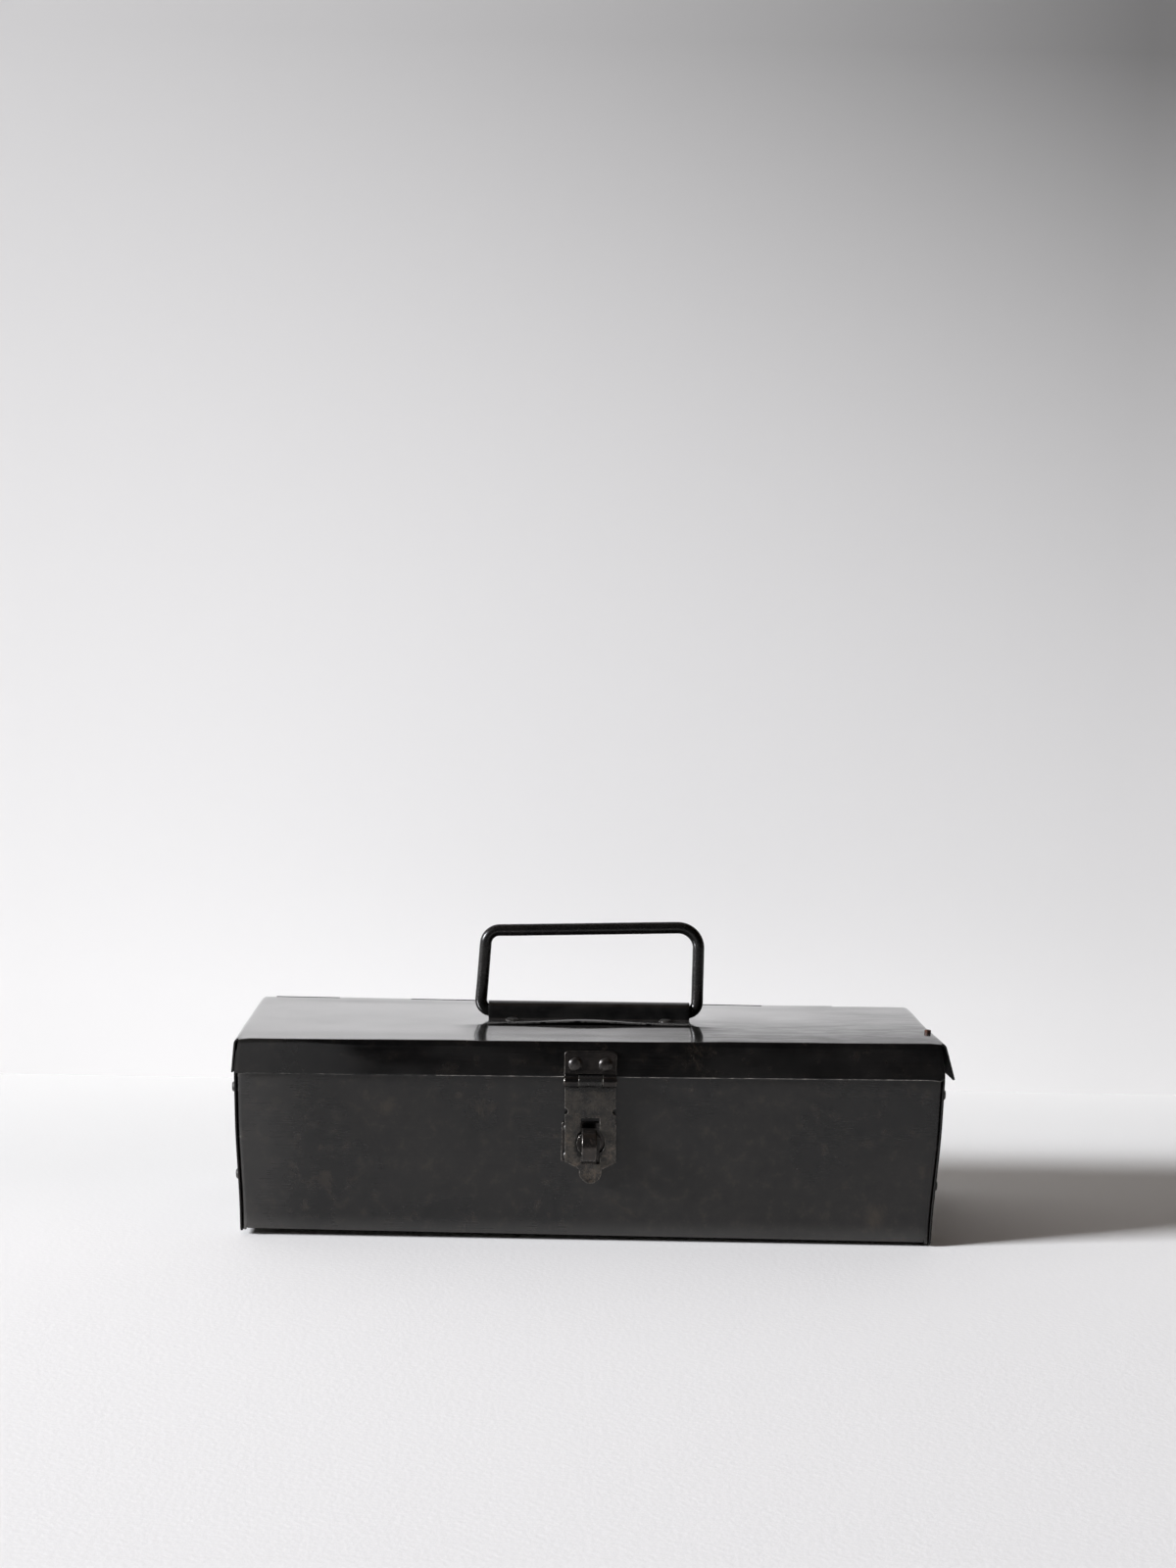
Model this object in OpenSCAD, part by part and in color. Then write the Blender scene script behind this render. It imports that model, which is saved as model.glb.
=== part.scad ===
// Small sheet steel toolbox with a wire-hinged lid, a carrying handle and a swivel hasp.
// The origin is on the floor under the middle of the body, and the front faces -Y.

/* [Body] */
// Depth of the body from its front face to its back face
body_d = 125; // [100:1:160]
// Height of the lid's top face above the floor
closed_h = 102.5; // [85:0.5:130]
// Thickness of the body and lid sheet
sheet_t = 0.8; // [0.6:0.1:1.2]
// Outward lean of both ends of the body in degrees
end_lean = 2.1; // [0:0.1:4]
// Outside radius of the folds along the front and back of the floor
floor_fold_r = 2.5; // [1.5:0.1:4]
// Outside radius of the upright corner folds
corner_fold_r = 2; // [1.4:0.1:3]
// Width of the upright tabs behind the end plates
tab_w = 15; // [13:0.5:20]
// Height of the floor tabs behind the end plates
floor_tab_h = 12; // [11:0.5:16]
// Height of the hem folded inside the front wall
hem_h = 6; // [3:0.5:10]

/* [End plates] */
// Thickness of the end plates
end_t = 1; // [0.8:0.1:1.5]
// Height of the end plates' top edge under the lid's top face
end_drop = 5; // [4.5:0.1:8]
// Corner radius of the end plates
end_corner_r = 3; // [1:0.5:6]
// Shank diameter of the end rivets
end_rivet_d = 3.2; // [2.4:0.1:4]
// Head diameter of the end rivets
end_rivet_head_d = 6.2; // [5:0.1:7]
// Height of the lower rivets above the floor
end_rivet_low = 29; // [20:0.5:40]
// Height of the upper rivets above the floor
end_rivet_high = 75; // [55:0.5:76]

/* [Lid] */
// Width of the lid across its end folds
lid_w = 364; // [300:1:420]
// Height of the front and end lips
lip_h = 18.4; // [15:0.2:22]
// Outward lean of the front lip in degrees
front_lip_lean = 4; // [2:0.5:8]
// Outward lean of the left end lip in degrees
left_lip_lean = 4; // [1:0.5:20]
// Outward lean of the sprung right end lip in degrees
right_lip_lean = 16; // [1:0.5:20]
// Outside radius of the fold over the front lip
front_fold_r = 1.8; // [1.4:0.1:2.4]
// Outside radius of the folds over the end lips
end_fold_r = 3; // [2:0.1:4]
// Radius of the lips' lower corners
lip_corner_r = 2; // [0.5:0.5:5]
// Diameter of the stud near the lid's right end
stud_d = 3.4; // [2:0.1:4]
// Height of the stud above the lid
stud_h = 1.8; // [1:0.1:4]

/* [Back hinge] */
// Diameter of the hinge wire
wire_d = 2.4; // [2:0.1:3.2]
// Number of rolled knuckles along the back edge
knuckle_count = 9; // [5:2:15]
// Gap between neighbouring knuckles
knuckle_gap = 0.4; // [0.3:0.1:1]
// Open angle left between a roll's edge and its sheet in degrees
roll_open = 65; // [50:1:80]

/* [Carrying handle] */
// Diameter of the handle rod
rod_d = 6.35; // [4.5:0.05:7]
// Width across the outside of the handle
handle_w = 122.5; // [90:0.5:180]
// Height of the grip's centre line over the pivot at its right end
handle_rise = 46; // [35:0.5:60]
// Amount by which the grip's left end is lower
grip_fall = 2.8; // [0:0.1:3]
// Inward lean of the left leg in degrees
left_leg_lean = 3.7; // [0:0.1:8]
// Bend radius of the lower corners on the rod's centre line
low_bend_r = 5.6; // [5.5:0.1:9]
// Bend radius of the upper left corner on the rod's centre line
left_bend_r = 7.5; // [6:0.5:14]
// Bend radius of the upper right corner on the rod's centre line
right_bend_r = 11; // [6:0.5:14]

/* [Handle bracket] */
// Thickness of the bracket sheet
bracket_t = 0.85; // [0.7:0.05:1.5]
// Depth of the bracket over both flanges
bracket_d = 34; // [30:1:44]
// Height of the handle's pivot over the lid
pivot_h = 4.75; // [4.4:0.05:7]
// Distance between the rivets along the bracket
bracket_rivet_span = 81.6; // [50:0.2:84]
// Head diameter of the bracket rivets
bracket_rivet_head_d = 7.4; // [6:0.1:8]

/* [Hasp] */
// Thickness of the hasp's leaf and strap
hasp_t = 1.3; // [1:0.1:1.6]
// Width of the leaf
leaf_w = 26.8; // [24:0.2:32]
// Height of the leaf's top edge over the hasp pin
leaf_h = 15.1; // [13:0.1:16]
// Width of the strap
strap_w = 26; // [24:0.2:32]
// Length of the strap's full width below the pin
strap_len = 41.4; // [40:0.2:46]
// Length of the finger tongue below the strap
tongue_len = 11; // [8:0.2:16]
// Width of the finger tongue
tongue_w = 11.4; // [8:0.2:16]
// Width of the slot that passes over the staple eye
slot_w = 9.4; // [8.6:0.1:11]
// Diameter of the round opening in the slot
opening_d = 14.7; // [14:0.1:16]
// Diameter of the hasp pin
hasp_pin_d = 3.3; // [2.5:0.1:4]
// Length of the strap's middle knuckle
strap_knuckle_w = 12; // [8:0.2:14]
// Diameter of the leaf rivet heads
leaf_rivet_head_d = 7; // [5:0.1:8]
// Distance between the leaf rivets
leaf_rivet_span = 15.4; // [12:0.2:17]

/* [Turn staple] */
// Thickness of the staple's base plate
plate_t = 1.2; // [1:0.1:1.5]
// Width of the base plate
plate_w = 28; // [27:0.2:34]
// Height of the base plate
plate_h = 20.6; // [18:0.2:26]
// Diameter of the staple's round neck
neck_d = 12.5; // [10:0.1:12.8]
// Diameter of the staple's shank through the wall
shank_d = 4; // [3:0.1:5]
// Outside diameter of the staple's eye
eye_d = 17.6; // [16:0.1:18]
// Thickness of the eye's strip
eye_t = 2.4; // [1.8:0.1:3]
// Width of the eye's strip
eye_w = 7.6; // [6:0.1:7.8]
// Height of the eye's centre over the neck
eye_rise = 4.8; // [4:0.1:6]

/* [Hidden] */
$fn = 48;

// Clearances
lid_front_gap = 0.7;
lid_end_gap = 0.35;
lid_seat_gap = 0.3;
hole_clear = 0.05;
running_clear = 0.06;
knuckle_side_gap = 0.3;
roll_clear = 0.75;
strap_over_gap = 0.35;
plate_lift = 0.4;
neck_lift = 0.1;
saddle_clear = 0.8;
handle_side_gap = 0.25;
hem_gap = 0.2;

// A fold draws its sheet thinner by fold_draw on each face and by fold_inset on each edge,
// and the flats lap its ends
fold_draw = 0.02;
fold_inset = 0.1;
fold_lap = 0.1;
// A bend draws the rod thinner by bend_draw, and the straight runs lap its ends
bend_draw = 0.04;
bend_lap = 0.4;

// Colours
black_steel = [0.16, 0.16, 0.16];
lid_black = [0.2, 0.2, 0.2];
worn_steel = [0.27, 0.26, 0.24];
rivet_black = [0.13, 0.13, 0.13];
wire_steel = [0.35, 0.35, 0.34];
copper = [0.48, 0.29, 0.2];

// Body outline
front_y = -body_d / 2;
back_y = body_d / 2;
end_h = closed_h - end_drop;
lid_half = lid_w / 2;
floor_half = lid_half - sheet_t - lid_end_gap - end_t / cos(end_lean) - end_h * tan(end_lean);
relief_h = floor_fold_r + 0.6;
tab_len = end_h / cos(end_lean);
floor_tab_r = 1.6;
floor_tab_half = body_d / 2 - tab_w - 1;
hem_r = hem_gap / 2;
hem_z = closed_h - sheet_t - lid_seat_gap - hem_r - sheet_t;
hem_half = wall_x(end_h, corner_fold_r) - (hem_z - end_h) - 1;

// End rivets
end_rivet_head_h = 1.9;
end_rivet_tail_d = 5.2;
end_rivet_tail_h = 1.1;
end_rivet_inset = tab_w * 0.6;
floor_rivet_z = floor_tab_h * 0.62;
floor_rivet_pitch = floor_tab_half * 0.7;

// Back hinge
roll_r = wire_d / 2 + hole_clear;
knuckle_r = roll_r + sheet_t;
hinge_y = back_y - sheet_t + knuckle_r;
hinge_z = closed_h - knuckle_r;
hinge_half = wall_x(end_h, corner_fold_r);
knuckle_pitch = 2 * hinge_half / knuckle_count;
roll_notch = knuckle_r + roll_clear;
wire_over = 0.4;

// Lid outline
lid_front_y = front_y - lid_front_gap - sheet_t;
lid_flat_half = lid_half - fold_tangent(end_fold_r, max(left_lip_lean, right_lip_lean, 0));
end_lip_front_y = lid_front_y + front_fold_r;
end_lip_back_y = back_y - 2;
front_lip_len = lip_h / cos(front_lip_lean);
stud_x = lid_half - 4.6;
stud_y = -33.6;

// Handle and bracket
rod_r = rod_d / 2;
leg_x = handle_w / 2 - rod_r;
saddle_r = rod_r + saddle_clear;
bend_reach = sqrt(pow(low_bend_r - rod_r, 2) - pow(low_bend_r - saddle_r, 2));
low_bend_cut = low_bend_r * tan((90 + left_leg_lean) / 2);
bracket_half = leg_x - low_bend_cut + bend_reach - handle_side_gap;
flange_fold_r = 0.8;
handle_seam = 1.2;
pivot_z = closed_h + pivot_h;
bracket_rivet_d = 3.4;
bracket_rivet_y = bracket_d / 2 - 6.5;

// Hasp
pin_bore_r = hasp_pin_d / 2 + running_clear;
barrel_r = pin_bore_r + hasp_t;
pin_drop = 1.8;
pin_out = front_lip_len + pin_drop;
pin_y = lid_front_y - barrel_r * cos(front_lip_lean) - pin_out * sin(front_lip_lean);
pin_z = closed_h + barrel_r * sin(front_lip_lean) - pin_out * cos(front_lip_lean);
barrel_notch = barrel_r + 0.4;
leaf_corner_r = 2;
leaf_rivet_z = leaf_h * 0.55;
leaf_rivet_d = 3.2;
strap_back_y = pin_y + barrel_r;
chamfer_h = 3.9;
notch_r = 1.6;
notch_z = -15.8;
opening_z = -31.3;
slot_top = -19;
slot_low = opening_z - eye_d / 2 - 2.2;

// Turn staple
staple_z = pin_z + opening_z - 0.6;
plate_face_y = front_y - plate_t;
neck_top = plate_face_y - (strap_back_y - hasp_t) + strap_over_gap;
shank_bore_r = shank_d / 2 + running_clear;
washer_d = 12;
washer_t = 1;
plate_rivet_d = 2.2;
plate_rivet_x = plate_w / 2 - 3.4;
plate_rivet_z = plate_h / 2 - 3.3;

// Where the inclined end plane, moved inward by inset, stands at height z
function wall_x(z, inset) = floor_half + z * tan(end_lean) - inset / cos(end_lean);

// Distance from a fold's sharp corner to where its flat sheet begins
function fold_tangent(r, lean) = r * tan((90 - lean) / 2);

// Radius of the sphere whose cap has radius r and height h
function cap_radius(r, h) = (r * r + h * h) / (2 * h);

// Angle of a direction in the plane, in degrees
function heading(v) = atan2(v[1], v[0]);

// Anticlockwise angle from direction a to direction b
function turn(a, b) = (heading(b) - heading(a) + 360) % 360;

// Flat profile swept along X from x0
module along_x(x0, length) {
    translate([x0, 0, 0])
        rotate([90, 0, 90])
            linear_extrude(length)
                children();
}

// Flat profile in X and Z swept along Y from y0
module along_y(y0, length) {
    translate([0, y0 + length, 0])
        rotate([90, 0, 0])
            linear_extrude(length)
                children();
}

// Pie slice that reaches past radius r
module wedge(r, from, to) {
    steps = ceil((to - from) / 45);
    polygon(concat([[0, 0]], [
        for (i = [0 : steps])
            let (a = from + (to - from) * i / steps)
                [2 * r * cos(a), 2 * r * sin(a)]
    ]));
}

// Bent sheet seen from its end, with inside radius r_in
module ring_sector(r_in, t, from, to) {
    intersection() {
        difference() {
            circle(r_in + t);
            circle(r_in);
        }
        wedge(r_in + t, from, to);
    }
}

// Fold between two flats of the body and lid sheet, with outside radius r
module fold(r, from, to) {
    ring_sector(r - sheet_t + fold_draw, sheet_t - 2 * fold_draw, from, to);
}

// Rectangle from the origin upwards with four round corners
module rounded_rect(w, h, r) {
    translate([-w / 2 + r, 0])
        square([w - 2 * r, h]);
    translate([-w / 2, r])
        square([w, h - 2 * r]);
    for (x = [-w / 2 + r, w / 2 - r], z = [r, h - r])
        translate([x, z])
            circle(r);
}

// Lip seen square on: it hangs from z = -top to z = -low between edges that may spread
module lip_outline(left_top, right_top, left_low, right_low, top, low) {
    r = lip_corner_r;
    polygon([
        [left_top, -top], [left_low, -low + r], [left_low + r, -low + r], [left_low + r, -low],
        [right_low - r, -low], [right_low - r, -low + r], [right_low, -low + r], [right_top, -top]
    ]);
    for (x = [left_low + r, right_low - r])
        translate([x, -low + r])
            circle(r);
}

// Rivet head standing on z = 0
module dome(d, h) {
    r = cap_radius(d / 2, h);
    intersection() {
        translate([0, 0, h - r])
            sphere(r, $fn = 64);
        cylinder(d = d + 1, h = h + 1);
    }
}

// Rivet head with a flat top and a sloping shoulder
module flat_head(d, h) {
    rotate_extrude()
        polygon([[0, 0], [d / 2, 0], [d / 2, 0.4 * h], [0.35 * d, h], [0, h]]);
}

// Rivet through a stack from z = 0 to z = grip, head on top and peened tail below
module rivet(d, grip, head_d, head_h, tail_d, tail_h) {
    translate([0, 0, -tail_h / 2])
        cylinder(d = d, h = grip + tail_h / 2 + head_h / 2);
    translate([0, 0, grip])
        flat_head(head_d, head_h);
    mirror([0, 0, 1])
        dome(tail_d, tail_h);
}

// Frame of a body end: X = 0 is the outer face of the tabs, Z runs up the leaning end
module at_end(side) {
    mirror([side < 0 ? 1 : 0, 0, 0])
        translate([floor_half, 0, 0])
            rotate([0, end_lean, 0])
                children();
}

// Places of the rivets in a body end's frame
module at_end_rivets() {
    for (y = [-1, 1] * (body_d / 2 - end_rivet_inset), z = [end_rivet_low, end_rivet_high])
        translate([0, y, z / cos(end_lean)])
            children();
    for (i = [-1 : 1])
        translate([0, i * floor_rivet_pitch, floor_rivet_z])
            children();
}

// Frame of the front lip: Y = 0 is its outer face, Z = 0 its sharp top corner
module on_front_lip() {
    translate([0, lid_front_y, closed_h])
        rotate([-front_lip_lean, 0, 0])
            children();
}

// Frame of an end lip: X = 0 is its outer face, Z = 0 its sharp top corner
module on_end_lip(side, lean) {
    mirror([side < 0 ? 1 : 0, 0, 0])
        translate([lid_half, 0, closed_h])
            rotate([0, -lean, 0])
                children();
}

// Frame of the hasp pin, with Z along the leaf
module on_leaf() {
    translate([0, pin_y, pin_z])
        rotate([-front_lip_lean, 0, 0])
            children();
}

// Frame of the staple: Z points out of the front wall from the base plate's face
module on_staple() {
    translate([0, plate_face_y, staple_z])
        rotate([90, 0, 0])
            children();
}

module at_plate_rivets() {
    for (x = [-1, 1] * plate_rivet_x, z = [-1, 1] * plate_rivet_z)
        translate([x, z, 0])
            children();
}

module at_leaf_rivets() {
    for (x = [-1, 1] * leaf_rivet_span / 2)
        translate([x, barrel_r, leaf_rivet_z])
            rotate([90, 0, 0])
                children();
}

module at_bracket_rivets(rows) {
    for (x = [-1, 1] * bracket_rivet_span / 2, row = rows)
        translate([x, row * bracket_rivet_y, closed_h])
            children();
}

// Places along X of the knuckles that belong to the body (even) or the lid (odd)
module at_knuckles(first) {
    for (i = [first : 2 : knuckle_count - 1])
        along_x(-hinge_half + i * knuckle_pitch + knuckle_gap / 2, knuckle_pitch - knuckle_gap)
            translate([hinge_y, hinge_z])
                children();
}

// Front or back wall between its corner folds, up to height top
module wall_panel(top, top_half) {
    inset = corner_fold_r - fold_lap;
    low = floor_fold_r - fold_lap;
    polygon([
        [-wall_x(low, inset), low], [wall_x(low, inset), low], [wall_x(end_h, inset), end_h],
        [top_half, top], [-top_half, top], [-wall_x(end_h, inset), end_h]
    ]);
}

// Floor with the folds up to the front and back walls
module floor_sheet() {
    half = floor_half - fold_tangent(floor_tab_r, end_lean) + fold_lap;
    along_x(-half, 2 * half)
        translate([front_y + floor_fold_r - fold_lap, 0])
            square([body_d - 2 * (floor_fold_r - fold_lap), sheet_t]);
    along_x(-floor_half, 2 * floor_half)
        for (m = [0, 1])
            mirror([m, 0])
                translate([front_y + floor_fold_r, floor_fold_r])
                    fold(floor_fold_r, 180, 270);
}

// Front wall with its hem
module front_wall() {
    along_y(front_y, sheet_t)
        wall_panel(hem_z, hem_half);
    along_x(-hem_half, 2 * hem_half) {
        translate([front_y + sheet_t + hem_r, hem_z])
            ring_sector(hem_r, sheet_t, 0, 180);
        translate([front_y + sheet_t + hem_gap, hem_z - hem_h])
            square([sheet_t, hem_h]);
        translate([front_y, hem_z - 1])
            square([sheet_t, 1]);
    }
}

// Back wall whose top edge is rolled into the body's knuckles
module back_wall() {
    along_y(back_y - sheet_t, sheet_t)
        wall_panel(hinge_z - roll_notch, hinge_half);
    at_knuckles(0) {
        translate([-knuckle_r, -roll_notch - 1])
            square([sheet_t, roll_notch + 1]);
        ring_sector(roll_r, sheet_t, -180 + roll_open, 180);
    }
}

// Upright corner fold and its tab, in the frame of a body end
module corner_tab() {
    for (m = [0, 1])
        mirror([0, m, 0])
            translate([0, 0, relief_h])
                linear_extrude(tab_len - relief_h) {
                    translate([-corner_fold_r, front_y + corner_fold_r])
                        fold(corner_fold_r, 270, 360);
                    translate([-sheet_t, front_y + corner_fold_r - fold_lap])
                        square([sheet_t, tab_w - corner_fold_r + fold_lap]);
                }
}

// Floor tab folded up behind an end plate
module floor_tab(side) {
    reach = fold_tangent(floor_tab_r, end_lean);
    mirror([side < 0 ? 1 : 0, 0, 0])
        along_y(-floor_tab_half + fold_inset, 2 * (floor_tab_half - fold_inset))
            translate([floor_half - reach, floor_tab_r])
                fold(floor_tab_r, 270, 360 - end_lean);
    at_end(side)
        translate([-sheet_t, -floor_tab_half, reach - fold_lap])
            cube([sheet_t, 2 * floor_tab_half, floor_tab_h - reach + fold_lap]);
}

module body_wrap() {
    color(black_steel)
        difference() {
            union() {
                floor_sheet();
                front_wall();
                back_wall();
                for (side = [-1, 1]) {
                    at_end(side)
                        corner_tab();
                    floor_tab(side);
                }
            }
            for (side = [-1, 1])
                at_end(side)
                    at_end_rivets()
                        rotate([0, 90, 0])
                            cylinder(r = end_rivet_d / 2 + hole_clear, h = 8, center = true);
            on_staple() {
                cylinder(r = shank_bore_r, h = 12, center = true);
                at_plate_rivets()
                    cylinder(r = plate_rivet_d / 2 + hole_clear, h = 12, center = true);
            }
        }
}

module end_plate(side) {
    at_end(side)
        difference() {
            translate([0, 0, plate_lift])
                rotate([90, 0, 90])
                    linear_extrude(end_t)
                        rounded_rect(body_d - 0.6, tab_len - plate_lift, end_corner_r);
            at_end_rivets()
                rotate([0, 90, 0])
                    cylinder(r = end_rivet_d / 2 + hole_clear, h = 8, center = true);
        }
}

module left_end_plate() {
    color(black_steel)
        end_plate(-1);
}

module right_end_plate() {
    color(black_steel)
        end_plate(1);
}

module end_rivets(side) {
    at_end(side)
        at_end_rivets()
            translate([-sheet_t, 0, 0])
                rotate([0, 90, 0])
                    rivet(end_rivet_d, sheet_t + end_t, end_rivet_head_d, end_rivet_head_h,
                          end_rivet_tail_d, end_rivet_tail_h);
}

module left_end_rivets() {
    color(rivet_black)
        end_rivets(-1);
}

module right_end_rivets() {
    color(rivet_black)
        end_rivets(1);
}

module hinge_wire() {
    color(wire_steel)
        translate([-hinge_half - wire_over, hinge_y, hinge_z])
            rotate([0, 90, 0])
                cylinder(d = wire_d, h = 2 * (hinge_half + wire_over));
}

module staple_plate() {
    color(worn_steel)
        on_staple()
            difference() {
                translate([0, -plate_h / 2, -plate_t])
                    linear_extrude(plate_t)
                        rounded_rect(plate_w, plate_h, 1.2);
                cylinder(r = shank_bore_r, h = 12, center = true);
                at_plate_rivets()
                    cylinder(r = plate_rivet_d / 2 + hole_clear, h = 12, center = true);
            }
}

module staple_plate_rivets() {
    color(rivet_black)
        on_staple()
            at_plate_rivets()
                translate([0, 0, -plate_t - sheet_t])
                    rivet(plate_rivet_d, plate_t + sheet_t, 4.4, 0.9, 4, 0.9);
}

module staple_washer() {
    color(worn_steel)
        on_staple()
            translate([0, 0, -plate_t - sheet_t - washer_t])
                difference() {
                    cylinder(d = washer_d, h = washer_t);
                    cylinder(r = shank_bore_r, h = 4 * washer_t, center = true);
                }
}

// Swivel eye on a round neck, with its peened shank through plate, wall and washer
module turn_staple() {
    shank_low = -plate_t - sheet_t - washer_t - neck_lift;
    strip_r = 0.6;
    eye_sink = 0.3;
    color(worn_steel)
        on_staple() {
            translate([0, 0, neck_lift])
                cylinder(d = neck_d, h = neck_top + eye_sink - neck_lift);
            translate([0, 0, shank_low - 0.5])
                cylinder(d = shank_d, h = 1 - shank_low);
            translate([0, 0, shank_low])
                mirror([0, 0, 1])
                    dome(8, 1.6);
            difference() {
                translate([0, 0, neck_top + eye_rise])
                    rotate([0, 90, 0])
                        rotate_extrude($fn = 96)
                            translate([eye_d / 2 - eye_t / 2, -eye_w / 2])
                                rounded_rect(eye_t, eye_w, strip_r);
                translate([-eye_d, -eye_d, neck_top - 2 * eye_d])
                    cube(2 * eye_d);
            }
        }
}

// Lid top with its rear edge cut back for the body's knuckles
module lid_top() {
    front = lid_front_y + fold_tangent(front_fold_r, front_lip_lean) - fold_lap;
    left = lid_half - fold_tangent(end_fold_r, left_lip_lean) + fold_lap;
    right = lid_half - fold_tangent(end_fold_r, right_lip_lean) + fold_lap;
    translate([-left, front, closed_h - sheet_t])
        cube([left + right, hinge_y - roll_notch - front, sheet_t]);
}

module front_lip() {
    reach = fold_tangent(front_fold_r, front_lip_lean);
    low_half = lid_half - sheet_t;
    along_x(-lid_flat_half + fold_inset, 2 * (lid_flat_half - fold_inset))
        translate([lid_front_y + reach, closed_h - front_fold_r])
            fold(front_fold_r, 90, 180 - front_lip_lean);
    on_front_lip()
        along_y(0, sheet_t)
            lip_outline(-lid_flat_half, lid_flat_half, -low_half, low_half,
                        reach - fold_lap, front_lip_len);
}

module end_lip(side, lean) {
    reach = fold_tangent(end_fold_r, lean);
    mirror([side < 0 ? 1 : 0, 0, 0])
        along_y(end_lip_front_y + fold_inset, end_lip_back_y - end_lip_front_y - 2 * fold_inset)
            translate([lid_half - reach, closed_h - end_fold_r])
                fold(end_fold_r, lean, 90);
    on_end_lip(side, lean)
        along_x(-sheet_t, sheet_t)
            lip_outline(end_lip_front_y, end_lip_back_y, end_lip_front_y, end_lip_back_y,
                        reach - fold_lap, lip_h / cos(lean));
}

module lid_sheet() {
    color(lid_black)
        difference() {
            union() {
                lid_top();
                front_lip();
                end_lip(-1, left_lip_lean);
                end_lip(1, right_lip_lean);
                at_knuckles(1) {
                    translate([-roll_notch - 1, roll_r])
                        square([roll_notch + 1, sheet_t]);
                    ring_sector(roll_r, sheet_t, -270 + roll_open, 90);
                }
            }
            at_bracket_rivets([-1, 1])
                cylinder(r = bracket_rivet_d / 2 + hole_clear, h = 8, center = true);
            translate([stud_x, stud_y, closed_h])
                cylinder(r = stud_d / 2 + hole_clear, h = 8, center = true);
            on_leaf()
                at_leaf_rivets()
                    cylinder(r = leaf_rivet_d / 2 + hole_clear, h = 12, center = true);
        }
}

module lid_stud() {
    color(copper)
        translate([stud_x, stud_y, closed_h - sheet_t]) {
            translate([0, 0, -0.4])
                cylinder(d = stud_d, h = sheet_t + stud_h + 0.4);
            mirror([0, 0, 1])
                dome(stud_d + 1.6, 0.8);
        }
}

// Saddle folded over the handle rod, with a riveted flange on both sides
module handle_bracket() {
    fold_y = saddle_r + bracket_t + flange_fold_r;
    fold_z = bracket_t + flange_fold_r;
    color(lid_black)
        difference() {
            along_x(-bracket_half, 2 * bracket_half)
                translate([0, closed_h]) {
                    translate([0, pivot_h])
                        ring_sector(saddle_r, bracket_t, 0, 180);
                    for (m = [0, 1])
                        mirror([m, 0]) {
                            translate([saddle_r, fold_z])
                                square([bracket_t, pivot_h - fold_z]);
                            translate([fold_y, fold_z])
                                ring_sector(flange_fold_r, bracket_t, 180, 270);
                            translate([fold_y, 0])
                                square([bracket_d / 2 - fold_y, bracket_t]);
                        }
                }
            at_bracket_rivets([-1, 1])
                cylinder(r = bracket_rivet_d / 2 + hole_clear, h = 8, center = true);
        }
}

module bracket_rivets(row) {
    at_bracket_rivets([row])
        translate([0, 0, -sheet_t])
            rivet(bracket_rivet_d, sheet_t + bracket_t, bracket_rivet_head_d, 1.5, 5.6, 1.2);
}

module bracket_front_rivets() {
    color(rivet_black)
        bracket_rivets(-1);
}

module bracket_rear_rivets() {
    color(rivet_black)
        bracket_rivets(1);
}

// Round rod along straight runs joined by bends, in the XY plane
module rod_run(points, radii) {
    last = len(points) - 1;
    cuts = [
        for (i = [0 : last])
            i == 0 || i == last ? 0
                : radii[i] * tan(turn(points[i] - points[i - 1], points[i + 1] - points[i]) / 2)
    ];
    for (i = [0 : last - 1]) {
        run = points[i + 1] - points[i];
        from = i == 0 ? 0 : cuts[i] - bend_lap;
        to = norm(run) - (i == last - 1 ? 0 : cuts[i + 1] - bend_lap);
        start = points[i] + run / norm(run) * from;
        translate([start[0], start[1], 0])
            rotate([0, 0, heading(run)])
                rotate([0, 90, 0])
                    cylinder(d = rod_d, h = to - from);
    }
    for (i = [1 : last - 1]) {
        run = points[i] - points[i - 1];
        arrive = points[i] - run / norm(run) * cuts[i];
        across = [-run[1], run[0]] / norm(run);
        centre = arrive + across * radii[i];
        translate([centre[0], centre[1], 0])
            rotate([0, 0, heading(run) - 90])
                rotate_extrude(angle = turn(run, points[i + 1] - points[i]))
                    translate([radii[i], 0])
                        circle(d = rod_d - 2 * bend_draw);
    }
}

// Bent rod whose ends meet inside the bracket
module carrying_handle() {
    left_rise = handle_rise - grip_fall;
    left_top_x = -leg_x + left_rise * tan(left_leg_lean);
    color(black_steel)
        translate([0, 0, pivot_z])
            rotate([90, 0, 0])
                rod_run(
                    [
                        [handle_seam / 2, 0], [leg_x, 0], [leg_x, handle_rise],
                        [left_top_x, left_rise], [-leg_x, 0], [-handle_seam / 2, 0]
                    ],
                    [0, low_bend_r, right_bend_r, left_bend_r, low_bend_r, 0]
                );
}

// Hinge knuckle rolled forward from a plate that rises behind the pin
module hasp_knuckle(x0, length) {
    along_x(x0, length) {
        ring_sector(pin_bore_r, hasp_t, -295, 0);
        translate([pin_bore_r, 0])
            square([hasp_t, barrel_notch + 1]);
    }
}

module hasp_leaf() {
    side_x = strap_knuckle_w / 2 + knuckle_side_gap;
    color(worn_steel)
        on_leaf()
            difference() {
                union() {
                    along_y(pin_bore_r, hasp_t)
                        difference() {
                            rounded_rect(leaf_w, leaf_h, leaf_corner_r);
                            translate([-leaf_w, -1])
                                square([2 * leaf_w, barrel_notch + 1]);
                        }
                    hasp_knuckle(side_x, leaf_w / 2 - side_x);
                    hasp_knuckle(-leaf_w / 2, leaf_w / 2 - side_x);
                }
                at_leaf_rivets()
                    cylinder(r = leaf_rivet_d / 2 + hole_clear, h = 12, center = true);
            }
}

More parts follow.
